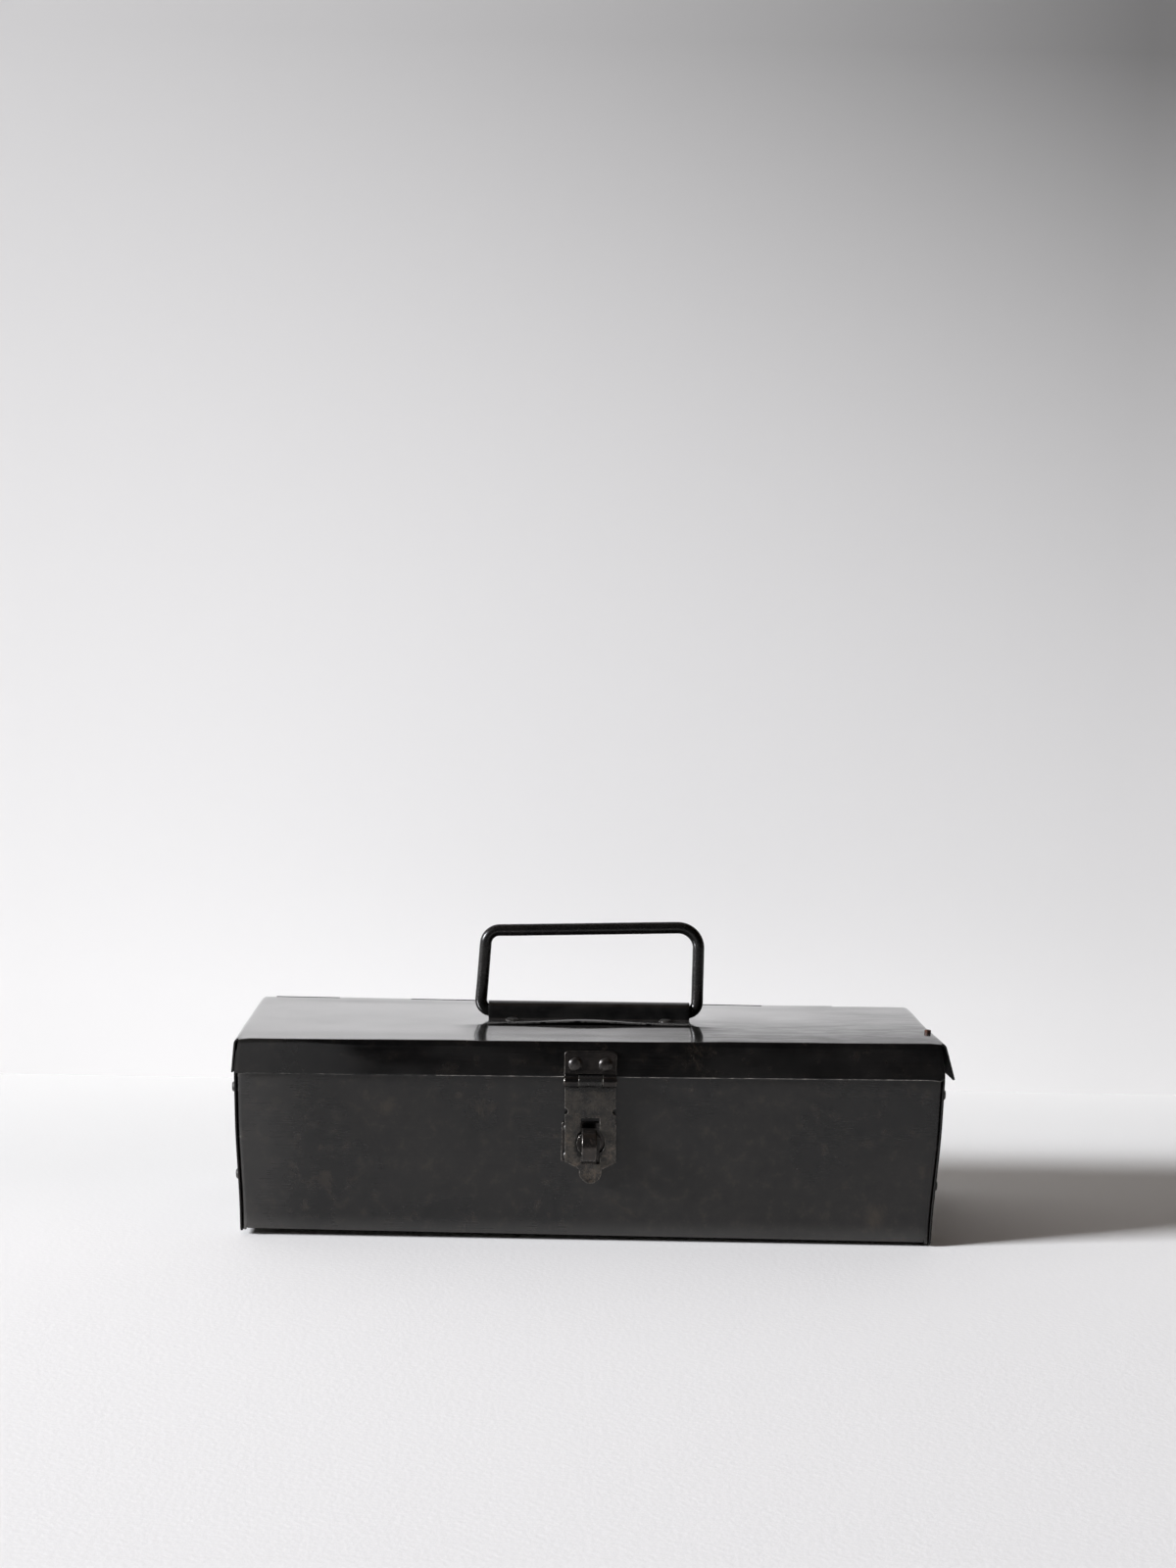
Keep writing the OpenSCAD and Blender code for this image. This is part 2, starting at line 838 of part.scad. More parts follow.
module hasp_leaf_rivets() {
    color(rivet_black)
        on_leaf()
            at_leaf_rivets()
                translate([0, 0, -sheet_t])
                    rivet(leaf_rivet_d, sheet_t + hasp_t, leaf_rivet_head_d, 1.6, 5, 0.8);
}

module hasp_pin() {
    half = leaf_w / 2 + 0.2;
    color(rivet_black)
        translate([-half, pin_y, pin_z])
            rotate([0, 90, 0])
                cylinder(d = hasp_pin_d, h = 2 * half);
}

// Strap seen from the front, hanging from the pin at z = 0
module strap_outline() {
    half = strap_w / 2;
    tongue_end = strap_len + tongue_len;
    difference() {
        union() {
            polygon([
                [-half, -barrel_notch], [half, -barrel_notch],
                [half, -strap_len], [tongue_w / 2, -strap_len - chamfer_h],
                [tongue_w / 2, -tongue_end + tongue_w / 2], [-tongue_w / 2, -tongue_end + tongue_w / 2],
                [-tongue_w / 2, -strap_len - chamfer_h], [-half, -strap_len]
            ]);
            translate([0, -tongue_end + tongue_w / 2])
                circle(d = tongue_w);
        }
        translate([-slot_w / 2, slot_low])
            square([slot_w, slot_top - slot_low]);
        translate([0, opening_z])
            circle(d = opening_d);
        for (x = [-half, half])
            translate([x, notch_z])
                circle(notch_r);
    }
}

module hasp_strap() {
    color(worn_steel)
        translate([0, pin_y, pin_z]) {
            along_y(pin_bore_r, hasp_t)
                strap_outline();
            mirror([0, 0, 1])
                hasp_knuckle(-strap_knuckle_w / 2, strap_knuckle_w);
        }
}

body_wrap();
left_end_plate();
right_end_plate();
left_end_rivets();
right_end_rivets();
hinge_wire();
staple_plate();
staple_plate_rivets();
staple_washer();
turn_staple();
lid_sheet();
lid_stud();
handle_bracket();
bracket_front_rivets();
bracket_rear_rivets();
carrying_handle();
hasp_leaf();
hasp_leaf_rivets();
hasp_pin();
hasp_strap();
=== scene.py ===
import math

import bmesh
import bpy
from mathutils import Matrix, Vector, noise


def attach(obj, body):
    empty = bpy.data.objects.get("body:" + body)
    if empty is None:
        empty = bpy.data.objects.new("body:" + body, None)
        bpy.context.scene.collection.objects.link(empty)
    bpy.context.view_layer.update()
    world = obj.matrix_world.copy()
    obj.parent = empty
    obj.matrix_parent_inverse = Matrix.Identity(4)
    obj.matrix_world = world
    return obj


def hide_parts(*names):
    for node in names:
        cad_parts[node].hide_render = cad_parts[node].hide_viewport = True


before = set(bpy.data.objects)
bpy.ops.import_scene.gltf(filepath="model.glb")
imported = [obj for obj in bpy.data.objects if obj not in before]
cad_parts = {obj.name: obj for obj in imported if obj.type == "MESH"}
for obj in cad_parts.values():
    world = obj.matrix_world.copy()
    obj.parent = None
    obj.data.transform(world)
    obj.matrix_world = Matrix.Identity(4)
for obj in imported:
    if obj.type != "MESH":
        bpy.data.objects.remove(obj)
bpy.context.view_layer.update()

mm = 0.001


# sRGB hex to the linear colour that shaders take
def linear(code):
    parts = [int(code[i:i + 2], 16) / 255 for i in (1, 3, 5)]
    return [c / 12.92 if c <= 0.04045 else ((c + 0.055) / 1.055) ** 2.4 for c in parts] + [1.0]


# One node with its settings and links. A key is a socket's name or number, or a setting of the
# node, and a link comes from a socket or from the first output that a node has in use.
def addNode(tree, kind, settings=None, links=None):
    node = tree.nodes.new("ShaderNode" + kind)
    plain = {k: v for k, v in (settings or {}).items() if isinstance(k, str) and hasattr(node, k)}
    for key, value in plain.items():
        setattr(node, key, value)
    for key, value in (settings or {}).items():
        if key not in plain:
            node.inputs[key].default_value = value
    for key, source in (links or {}).items():
        if isinstance(source, bpy.types.Node):
            source = next(output for output in source.outputs if output.enabled)
        tree.links.new(source, node.inputs[key])
    return node


def newMaterial(name):
    material = bpy.data.materials.new(name)
    material.use_nodes = True
    material.node_tree.nodes.clear()
    return material, material.node_tree


def newObject(name, data):
    obj = bpy.data.objects.new(name, data)
    bpy.context.scene.collection.objects.link(obj)
    return obj


# The box's own shape: how the real sheet has twisted and bent

twist = {
    "bottomLeftLift": 1.5,    # mm that the front left corner stands off the floor
    "topLeftRise": 0.5,       # mm that the lid's front left corner sits high
    "topRightRise": 4.5,      # mm that the lid's front right corner sits high
    "bottomSpread": 0.5,      # mm that both bottom front corners are further apart
    "leftSwell": 1.5,         # mm that the left end bulges out below the lid
    "rightSwell": 1.9,        # mm that the right end bulges out below the lid
    "cornerDroop": 0.6,       # mm that the lid's front corners bend down
    "rearCurl": 0.8,          # mm that the lid's rear right corner curls up
    "rightTuck": 2.2,         # mm that the lid's right fold runs in behind its front corner
    "half": 180.0, "floorHalf": 176.0, "rear": 61.0, "depth": 123.0, "height": 102.5,
}


# 0 up to a and 1 from b on, or the other way round where b is the lower, eased at both ends
def smooth(a, b, v):
    t = min(1.0, max(0.0, (v - a) / (b - a)))
    return t * t * (3 - 2 * t)


# Moves a point, in mm, to where the twisted box has it; the hinge line at the back stays put.
# The body's ends also swell below the lid, and the lid's corners droop, curl and tuck in.
def twisted(p, body="box"):
    x, y, z = p
    if body == "box":
        swell = smooth(8, 62, z) * smooth(98, 84, z) * smooth(60, 172, abs(x))
        x += math.copysign(swell * twist["rightSwell" if x > 0 else "leftSwell"], x)
    elif body == "lid":
        z -= twist["cornerDroop"] * smooth(7, 0, 181 - abs(x)) * smooth(40, 0, y + 64)
        z += twist["rearCurl"] * smooth(95, 178, x) * smooth(-40, 60, y)
        behind = smooth(-64, -14, y) * (1 - 0.5 * smooth(0, 61, y))
        x -= twist["rightTuck"] * smooth(140, 180, x) * behind
    front = min(1.0, max(0.0, (twist["rear"] - y) / twist["depth"]))
    across = (x + twist["half"]) / (2 * twist["half"])
    if body == "lid":
        front = 1 - (1 - front) ** 1.5
    low = twist["bottomLeftLift"] * (1 - across)
    high = twist["topRightRise"] * across + twist["topLeftRise"] * (1 - across)
    t = min(z / twist["height"], 1.0)
    wider = 1 + front * (1 - t) * twist["bottomSpread"] / twist["floorHalf"]
    return Vector((x * wider, y, z + front * (low + (high - low) * t)))


# Smooth noise over a place in mm, with waves of a given size
def ripple(x, y, z, size, seed):
    return noise.noise(Vector((x / size + seed, y / size, z / size + 3 * seed)))


# Points of a path through corners that are rounded to given radii, in mm
def roundedPath(corners, radii, step=1.2):
    path = [Vector(corners[0])]
    for i in range(1, len(corners) - 1):
        a, b, c = (Vector(corners[k]) for k in (i - 1, i, i + 1))
        u, w = (a - b).normalized(), (c - b).normalized()
        half = u.angle(w) / 2
        cut = radii[i - 1] / math.tan(half)
        centre = b + (u + w).normalized() * radii[i - 1] / math.sin(half)
        start, end = b + u * cut - centre, b + w * cut - centre
        turn = math.pi - 2 * half
        n = max(6, int(radii[i - 1] * turn / step))
        path += [centre + (start * math.sin(turn * (1 - k / n)) + end * math.sin(turn * k / n))
                 / math.sin(turn) for k in range(n + 1)]
    path.append(Vector(corners[-1]))
    full = [path[0]]
    for p in path[1:]:
        gap = (p - full[-1]).length
        n = max(1, int(gap / step))
        full += [full[-1].lerp(p, k / n) for k in range(1, n + 1)]
    return full


# Even steps from a to b
def spread(a, b, step):
    n = max(1, round(abs(b - a) / step))
    return [a + (b - a) * i / n for i in range(n + 1)]


# Points of an arc about (y, z) in the YZ plane, from one angle to another in degrees
def arc(y, z, radius, start, end, step):
    return [(y + radius * math.cos(math.radians(a)), z + radius * math.sin(math.radians(a)))
            for a in spread(start, end, step)]


# Steps that meet every mark, at most about step apart
def meeting(marks, step):
    stops = [marks[0]]
    for mark in marks[1:]:
        gap, n = mark - stops[-1], max(1, round((mark - stops[-1]) / step))
        stops += [stops[-1] + gap * k / n for k in range(1, n)] + [mark]
    return stops


# A piece from points in mm of the untwisted box, with marks for its material
def newPiece(name, verts, faces, material, body, nodes, marks=None):
    mesh = bpy.data.meshes.new(name)
    mesh.from_pydata([twisted(v, body) * mm for v in verts], [], faces)
    for mark, values in (marks or {}).items():
        layer = mesh.attributes.new(mark, "FLOAT", "POINT")
        layer.data.foreach_set("value", values)
    mesh.update()
    piece = newObject(name, mesh)
    finishPiece(piece, material, body, nodes)
    return piece


def finishPiece(piece, material, body, nodes, sharp=40):
    mesh = piece.data
    mesh.materials.clear()
    mesh.materials.append(material)
    mesh.shade_smooth()
    mesh.set_sharp_from_angle(angle=math.radians(sharp))
    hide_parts(*nodes)
    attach(piece, body)


# A small round on every edge, so that it catches the light
def roundEdges(piece, width):
    bevel = piece.modifiers.new("edge", "BEVEL")
    bevel.width = width * mm
    bevel.segments = 2
    bevel.limit_method = "ANGLE"
    bevel.angle_limit = math.radians(50)


# A sheet folded from one blank: place(i, j) gives a point of its outer face, how rubbed it is and,
# where it is marked, how stained, or None where the blank is cut away
def foldedBlank(name, rows, cols, place, thickness, material, body, node, edge=0.16,
                flip=False, inside=None, darkRim=False):
    index, verts, rub, stain = {}, [], [], []
    for i in range(rows):
        for j in range(cols):
            found = place(i, j)
            if found:
                index[i, j] = len(verts)
                verts.append(found[0])
                rub.append(found[1])
                stain.append(found[2] if len(found) > 2 else 0.0)
    faces = []
    for i in range(rows - 1):
        for j in range(cols - 1):
            cell = [(i, j), (i, j + 1), (i + 1, j + 1), (i + 1, j)]
            if all(c in index for c in cell):
                faces.append([index[c] for c in (cell[::-1] if flip else cell)])
    used = sorted({v for f in faces for v in f})
    keep = {v: k for k, v in enumerate(used)}
    verts = [verts[v] for v in used]
    marks = {"rub": [rub[v] for v in used], "stain": [stain[v] for v in used]}
    faces = [[keep[v] for v in f] for f in faces]
    piece = newPiece(name, verts, faces, material, body, [node], marks)
    solid = piece.modifiers.new("sheet", "SOLIDIFY")
    solid.thickness = thickness * mm
    solid.offset = -1
    solid.use_even_offset = True
    if inside:
        piece.data.materials.append(inside)
        solid.material_offset = 1
        solid.material_offset_rim = 1 if darkRim else 0
    roundEdges(piece, edge)
    return piece


# A node's own mesh, twisted with the box; merged and cleared of its triangles so that its edges can
# be rounded, or remeshed finely where the real piece is worn soft all over
def dressedCopy(node, name, material, body, edge, voxel, shape):
    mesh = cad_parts[node].data.copy()
    mesh.name = name
    b = bmesh.new()
    b.from_mesh(mesh)
    bmesh.ops.remove_doubles(b, verts=b.verts, dist=0.002 * mm)
    if not voxel:
        bmesh.ops.dissolve_limit(b, angle_limit=math.radians(1), verts=b.verts, edges=b.edges)
    b.to_mesh(mesh)
    b.free()
    piece = newObject(name, mesh)
    if voxel:
        grid = piece.modifiers.new("grid", "REMESH")
        grid.mode = "VOXEL"
        grid.voxel_size = voxel * mm
        soft = piece.modifiers.new("soft", "SMOOTH")
        soft.iterations = 4
        soft.factor = 0.5
        dense = bpy.data.meshes.new_from_object(
            piece.evaluated_get(bpy.context.evaluated_depsgraph_get()))
        piece.modifiers.clear()
        piece.data = dense
        dense.name = name
    for v in piece.data.vertices:
        p = v.co / mm
        if shape:
            p = shape(p)
        v.co = twisted(p, body) * mm
    finishPiece(piece, material, body, [node], 60 if voxel else 35)
    if edge and not voxel:
        roundEdges(piece, edge)
    return piece


# Materials

# Cold rolled mild steel sheet, blackened and oiled: a thin near-black oxide that shines softly at
# a low angle, with faint rolling streaks, cloudy patches, brown specks and a few stains.
# Sizes and places are in mm; a pair gives where a thing starts to show and where it is full.
sheetLook = {
    "black": "#0a0a0a", "cloud": "#201e1c", "stain": "#3b332b", "bare": "#8b8884",
    "dust": "#a5a29d", "dustAmount": 0.05,
    "ior": 1.45, "roughness": 0.27, "roughnessSpread": 0.12,
    "cloudSize": 55, "mottleSize": 7, "stainSize": 24,
    "streakLength": 60, "streakWidth": 0.8,    # real rolling lines are finer and would not show
    "specks": 0.0,                             # how brown the small specks are
    "footDirt": 0.0, "footBand": (13, 3),
    "handDirt": 0.0, "handBand": (-135, -178),
    "wax": 0.0, "dull": 0.0,                   # share of wax on top, and how much hands take off
    "fingersAcross": (0, 80), "fingersForward": (30, -36), "endRub": (85, 150), "endShare": 0.5,
    "scuffSize": (26, 5, 12), "scuffTurn": 0.35, "scuffSpread": (0.62, 1.25),
    "strain": 0.0, "strainForward": (-58, -19), "strainAcross": (78, 50),
    "lineDepth": 0.015, "skinDepth": 0.04,
}


def blackenedSheet(name, look):
    material, tree = newMaterial(name)
    place = addNode(tree, "TexCoord")
    point = place.outputs["Object"]
    spot = addNode(tree, "SeparateXYZ", None, {0: point})
    facing = addNode(tree, "SeparateXYZ", None, {0: place.outputs["Normal"]})
    along = addNode(tree, "Mapping", {"Scale": (
        1000 / look["streakLength"], 1000 / look["streakWidth"], 1000 / look["streakWidth"])},
        {"Vector": point})
    streaks = addNode(tree, "TexNoise", {"Scale": 1.0, "Detail": 3.0, "Roughness": 0.6},
                      {"Vector": along})
    clouds = addNode(tree, "TexNoise", {
        "Scale": 1000 / look["cloudSize"], "Detail": 4.0, "Roughness": 0.55, "Distortion": 0.3},
        {"Vector": point})
    mottle = addNode(tree, "TexNoise", {
        "Scale": 1000 / look["mottleSize"], "Detail": 4.0, "Roughness": 0.65}, {"Vector": point})
    spots = addNode(tree, "TexNoise", {
        "Scale": 1000 / look["stainSize"], "Detail": 6.0, "Roughness": 0.7, "Distortion": 0.8},
        {"Vector": point})
    # near black, with brown clouds, specks and stains in the oxide
    fine = addNode(tree, "Mix", {0: 0.16}, {2: mottle, 3: streaks})
    tone = addNode(tree, "Mix", {0: 0.4}, {2: clouds, 3: fine})
    cloudMask = addNode(tree, "MapRange", {"From Min": 0.38, "From Max": 0.62}, {"Value": tone})
    base = addNode(tree, "Mix", {
        "data_type": "RGBA", 6: linear(look["black"]), 7: linear(look["cloud"])}, {0: cloudMask})
    marked = addNode(tree, "Attribute", {"attribute_name": "stain"})
    stainSum = addNode(tree, "Math", {"operation": "MULTIPLY_ADD", 1: 0.26},
                       {0: marked.outputs["Fac"], 2: spots})
    stainMask = addNode(tree, "MapRange", {"From Min": 0.62, "From Max": 0.86, "To Max": 0.85},
                        {"Value": stainSum})
    specks = addNode(tree, "MapRange", {
        "From Min": 0.55, "From Max": 0.7, "To Max": look["specks"]}, {"Value": mottle})
    brown = addNode(tree, "Math", {"operation": "MAXIMUM"}, {0: stainMask, 1: specks})
    stained = addNode(tree, "Mix", {"data_type": "RGBA", 7: linear(look["stain"])},
                      {0: brown, 6: base})
    # dust lies in patches on what faces up when the box is shut
    upward = addNode(tree, "MapRange", {
        "From Min": 0.8, "From Max": 1.0, "To Max": look["dustAmount"]},
        {"Value": facing.outputs["Z"]})
    dustPatch = addNode(tree, "MapRange", {"From Min": 0.1, "From Max": 0.9}, {"Value": tone})
    dust = addNode(tree, "Math", {"operation": "MULTIPLY"}, {0: upward, 1: dustPatch})
    # wax on the top, wiped thin where a hand lifts the lid, at its right front
    waxed = addNode(tree, "MapRange", {"From Min": 0.5, "From Max": 0.95, "To Max": look["wax"]},
                    {"Value": facing.outputs["Z"]})
    rightward = addNode(tree, "MapRange", {
        "interpolation_type": "SMOOTHSTEP", "From Min": look["fingersAcross"][0] * mm,
        "From Max": look["fingersAcross"][1] * mm}, {"Value": spot.outputs["X"]})
    forward = addNode(tree, "MapRange", {
        "interpolation_type": "SMOOTHSTEP", "From Min": look["fingersForward"][0] * mm,
        "From Max": look["fingersForward"][1] * mm}, {"Value": spot.outputs["Y"]})
    farRight = addNode(tree, "MapRange", {
        "interpolation_type": "SMOOTHSTEP", "From Min": look["endRub"][0] * mm,
        "From Max": look["endRub"][1] * mm, "To Max": look["endShare"]},
        {"Value": spot.outputs["X"]})
    slanted = addNode(tree, "Mapping", {
        "Rotation": (0, 0, look["scuffTurn"]),
        "Scale": [1000 / size for size in look["scuffSize"]]}, {"Vector": point})
    scuffNoise = addNode(tree, "TexNoise", {
        "Scale": 1.0, "Detail": 6.0, "Roughness": 0.7, "Distortion": 0.7}, {"Vector": slanted})
    scuffs = addNode(tree, "MapRange", {
        "From Min": 0.42, "From Max": 0.62, "To Min": look["scuffSpread"][0],
        "To Max": look["scuffSpread"][1]}, {"Value": scuffNoise})
    fingers = addNode(tree, "Math", {"operation": "MULTIPLY"}, {0: rightward, 1: forward})
    touched = addNode(tree, "Math", {"operation": "MAXIMUM"}, {0: fingers, 1: farRight})
    wiped = addNode(tree, "Math", {"operation": "MULTIPLY"}, {0: touched, 1: scuffs})
    thinned = addNode(tree, "MapRange", {"To Min": 1.0, "To Max": 1 - look["dull"]},
                      {"Value": wiped})
    wax = addNode(tree, "Math", {"operation": "MULTIPLY"}, {0: waxed, 1: thinned})
    # dried dirt along the foot and where a hand carries the left end
    footBand = addNode(tree, "MapRange", {
        "interpolation_type": "SMOOTHSTEP", "From Min": look["footBand"][0] * mm,
        "From Max": look["footBand"][1] * mm, "To Max": look["footDirt"]},
        {"Value": spot.outputs["Z"]})
    handBand = addNode(tree, "MapRange", {
        "interpolation_type": "SMOOTHSTEP", "From Min": look["handBand"][0] * mm,
        "From Max": look["handBand"][1] * mm, "To Max": look["handDirt"]},
        {"Value": spot.outputs["X"]})
    bands = addNode(tree, "Math", {"operation": "ADD"}, {0: handBand, 1: footBand})
    dirt = addNode(tree, "Math", {"operation": "ADD"}, {0: dust, 1: bands})
    dusty = addNode(tree, "Mix", {"data_type": "RGBA", 7: linear(look["dust"])},
                    {0: dirt, 6: stained})
    # bare steel shows where edges and folds are rubbed
    rub = addNode(tree, "Attribute", {"attribute_name": "rub"})
    broken = addNode(tree, "MapRange", {
        "From Min": 0.35, "From Max": 0.7, "To Min": -0.3, "To Max": 0.4}, {"Value": mottle})
    worn = addNode(tree, "Math", {"operation": "ADD"}, {0: rub.outputs["Fac"], 1: broken})
    wornMask = addNode(tree, "MapRange", {"From Min": 0.75, "From Max": 1.15, "To Max": 0.85},
                       {"Value": worn})
    colour = addNode(tree, "Mix", {"data_type": "RGBA", 7: linear(look["bare"])},
                     {0: wornMask, 6: dusty})
    # clouds and stains are duller, and the rolling streaks catch the light
    rough = addNode(tree, "MapRange", {
        "From Min": 0.3, "From Max": 0.7,
        "To Min": look["roughness"] - look["roughnessSpread"] / 2,
        "To Max": look["roughness"] + look["roughnessSpread"]}, {"Value": clouds})
    grain = addNode(tree, "MapRange", {
        "From Min": 0.2, "From Max": 0.8, "To Min": -0.03, "To Max": 0.03}, {"Value": streaks})
    dulled = addNode(tree, "Math", {"operation": "MULTIPLY_ADD", 1: 0.12},
                     {0: stainMask, 2: grain})
    roughSum = addNode(tree, "Math", {"operation": "ADD", "use_clamp": True},
                       {0: rough, 1: dulled})
    lines = addNode(tree, "Bump", {"Strength": 0.2, "Distance": look["lineDepth"] * mm},
                    {"Height": streaks})
    surface = addNode(tree, "Bump", {"Strength": 0.2, "Distance": look["skinDepth"] * mm},
                      {"Height": mottle, "Normal": lines})
    if look["strain"]:
        # the handle's pull has strained the sheet: it runs down in front of the bracket
        run = addNode(tree, "MapRange", {
            "From Min": look["strainForward"][0] * mm, "From Max": look["strainForward"][1] * mm},
            {"Value": spot.outputs["Y"]})
        bowl = addNode(tree, "Math", {"operation": "POWER", 1: 2.0}, {0: run})
        aside = addNode(tree, "Math", {"operation": "ABSOLUTE"}, {0: spot.outputs["X"]})
        across = addNode(tree, "MapRange", {
            "interpolation_type": "SMOOTHSTEP", "From Min": look["strainAcross"][0] * mm,
            "From Max": look["strainAcross"][1] * mm}, {"Value": aside})
        height = addNode(tree, "Math", {"operation": "MULTIPLY"}, {0: bowl, 1: across})
        surface = addNode(tree, "Bump", {"Strength": 1.0, "Distance": look["strain"] * mm},
                          {"Height": height, "Normal": surface})
    shader = addNode(tree, "BsdfPrincipled", {"IOR": look["ior"], "Coat IOR": 1.5}, {
        "Coat Weight": wax, "Coat Roughness": roughSum, "Base Color": colour,
        "Metallic": wornMask, "Roughness": roughSum, "Normal": surface, "Coat Normal": surface})
    addNode(tree, "OutputMaterial", None, {"Surface": shader})
    return material


# Forged and pressed steel hardware, once blackened: handled to a dull brown-black, with thin rust
# in patches, pits and rubbed high spots, and painted shade round the staple's eye. Sizes and places
# are in mm.
hardwareLook = {
    "dark": "#252322", "brown": "#3a3531", "rust": "#4f4238", "bare": "#98938c",
    "metal": 0.55, "rustyMetal": 0.05,         # how metallic it looks where clean and where rusty
    "roughness": 0.30, "roughnessSpread": (-0.08, 0.14), "patchSize": 9,
    "pitSize": 1.4,                            # real pits are finer and would not show
    "pitDepth": 0.06, "waveDepth": 0.25, "rustAmount": 0.5,
    "lowRust": 0.0, "lowBand": (72, 38),       # more rust on what hangs lowest
    "cleanBand": (79, 80.5),                   # the strap's knuckle, rubbed clean by turning
    # painted shade: a dark colour round the staple's eye and on what lies behind it, where the
    # recess is in shade
    "seatShade": 0.0, "seatShadeColour": "#070706", "seatShadeCentre": (0.5, 50.7), "seatShadeRing": (9.0, 7.0),
    "seatShadeBehind": (-67.7, -67.2),             # the painted shade lies behind the staple's eye
    "highSpots": (0.505, 0.555),
}


def handledSteel(name, look):
    material, tree = newMaterial(name)
    point = addNode(tree, "TexCoord").outputs["Object"]
    spot = addNode(tree, "SeparateXYZ", None, {0: point})
    patches = addNode(tree, "TexNoise", {
        "Scale": 1000 / look["patchSize"], "Detail": 6.0, "Roughness": 0.65, "Distortion": 0.5},
        {"Vector": point})
    pits = addNode(tree, "TexNoise", {
        "Scale": 1000 / look["pitSize"], "Detail": 5.0, "Roughness": 0.7}, {"Vector": point})
    rustSpots = addNode(tree, "TexNoise", {
        "Scale": 1600 / look["patchSize"], "Detail": 7.0, "Roughness": 0.72, "Distortion": 1.0},
        {"Vector": point})
    rubbed = addNode(tree, "MapRange", {
        "From Min": look["cleanBand"][0] * mm, "From Max": look["cleanBand"][1] * mm,
        "To Max": -0.4 if look["lowRust"] else 0.0}, {"Value": spot.outputs["Z"]})
    browning = addNode(tree, "Math", {"operation": "ADD"}, {0: patches, 1: rubbed})
    brownMask = addNode(tree, "MapRange", {"From Min": 0.38, "From Max": 0.66},
                        {"Value": browning})
    base = addNode(tree, "Mix", {
        "data_type": "RGBA", 6: linear(look["dark"]), 7: linear(look["brown"])}, {0: brownMask})
    # damp sits longest in what hangs lowest, so rust gathers there
    hanging = addNode(tree, "MapRange", {
        "From Min": look["lowBand"][0] * mm, "From Max": look["lowBand"][1] * mm,
        "To Max": look["lowRust"]}, {"Value": spot.outputs["Z"]})
    damp = addNode(tree, "Math", {"operation": "ADD"}, {0: rubbed, 1: hanging})
    rusting = addNode(tree, "Math", {"operation": "ADD"}, {0: rustSpots, 1: damp})
    rustMask = addNode(tree, "MapRange", {
        "From Min": 0.72 - 0.25 * look["rustAmount"], "From Max": 0.84 - 0.2 * look["rustAmount"],
        "To Max": 0.85}, {"Value": rusting})
    rusty = addNode(tree, "Mix", {"data_type": "RGBA", 7: linear(look["rust"])},
                    {0: rustMask, 6: base})
    if look["seatShade"]:
        # painted shade round the eye's seat, on what lies behind the eye, where the recess is in
        # shade
        sideways = addNode(tree, "Math", {"operation": "SUBTRACT", 1: look["seatShadeCentre"][0] * mm},
                           {0: spot.outputs["X"]})
        upright = addNode(tree, "Math", {"operation": "SUBTRACT", 1: look["seatShadeCentre"][1] * mm},
                          {0: spot.outputs["Z"]})
        flatPlace = addNode(tree, "CombineXYZ", None, {"X": sideways, "Y": upright})
        away = addNode(tree, "VectorMath", {"operation": "LENGTH"}, {0: flatPlace})
        ring = addNode(tree, "MapRange", {
            "interpolation_type": "SMOOTHSTEP", "From Min": look["seatShadeRing"][0] * mm,
            "From Max": look["seatShadeRing"][1] * mm, "To Max": look["seatShade"]}, {"Value": away})
        behind = addNode(tree, "MapRange", {
            "From Min": look["seatShadeBehind"][0] * mm, "From Max": look["seatShadeBehind"][1] * mm},
            {"Value": spot.outputs["Y"]})
        shadedSeat = addNode(tree, "Math", {"operation": "MULTIPLY"}, {0: ring, 1: behind})
        rusty = addNode(tree, "Mix", {"data_type": "RGBA", 7: linear(look["seatShadeColour"])},
                        {0: shadedSeat, 6: rusty})
    # high spots and edges are rubbed to bare steel, broken up by the pits
    edges = addNode(tree, "NewGeometry")
    high = addNode(tree, "MapRange", {
        "From Min": look["highSpots"][0], "From Max": look["highSpots"][1], "To Max": 1.0},
        {"Value": edges.outputs["Pointiness"]})
    chipped = addNode(tree, "MapRange", {
        "From Min": 0.45, "From Max": 0.65, "To Min": 0.12, "To Max": 0.8}, {"Value": pits})
    bared = addNode(tree, "Math", {"operation": "MULTIPLY"}, {0: high, 1: chipped})
    colour = addNode(tree, "Mix", {"data_type": "RGBA", 7: linear(look["bare"])},
                     {0: bared, 6: rusty})
    metal = addNode(tree, "MapRange", {"To Min": look["metal"], "To Max": look["rustyMetal"]},
                    {"Value": rustMask})
    rough = addNode(tree, "MapRange", {
        "To Min": look["roughness"] + look["roughnessSpread"][0],
        "To Max": look["roughness"] + look["roughnessSpread"][1]}, {"Value": pits})
    skin = addNode(tree, "Bump", {"Strength": 0.5, "Distance": look["pitDepth"] * mm},
                   {"Height": pits})
    waves = addNode(tree, "Bump", {"Strength": 0.4, "Distance": look["waveDepth"] * mm},
                    {"Height": patches, "Normal": skin})
    shader = addNode(tree, "BsdfPrincipled", None, {
        "Base Color": colour, "Metallic": metal, "Roughness": rough, "Normal": waves})
    addNode(tree, "OutputMaterial", None, {"Surface": shader})
    return material


print("materials")
# waxed over the oxide, so it mirrors the room at a low angle, but for the wiped right front
lidSteel = blackenedSheet("oiled_black_sheet_lid", dict(
    sheetLook, black="#090909", cloud="#151413", dustAmount=0.06, roughness=0.12,
    roughnessSpread=0.06, ior=1.36, wax=1.0, cloudSize=42, handDirt=0.02, dull=1.0,
    bare="#b0aca6", strain=2.3, specks=0.12))
# plain oiled oxide: a soft dark sheen, browner specks and a dirty foot
bodySteel = blackenedSheet("oiled_black_sheet_body", dict(
    sheetLook, footDirt=0.07, handDirt=0.045, specks=0.3))
# never rubbed or oiled again: dull and even
innerSteel = blackenedSheet("dull_black_sheet_inside", dict(
    sheetLook, black="#0f0f0f", cloud="#1c1a18", roughness=0.5, ior=1.3, dustAmount=0.02))
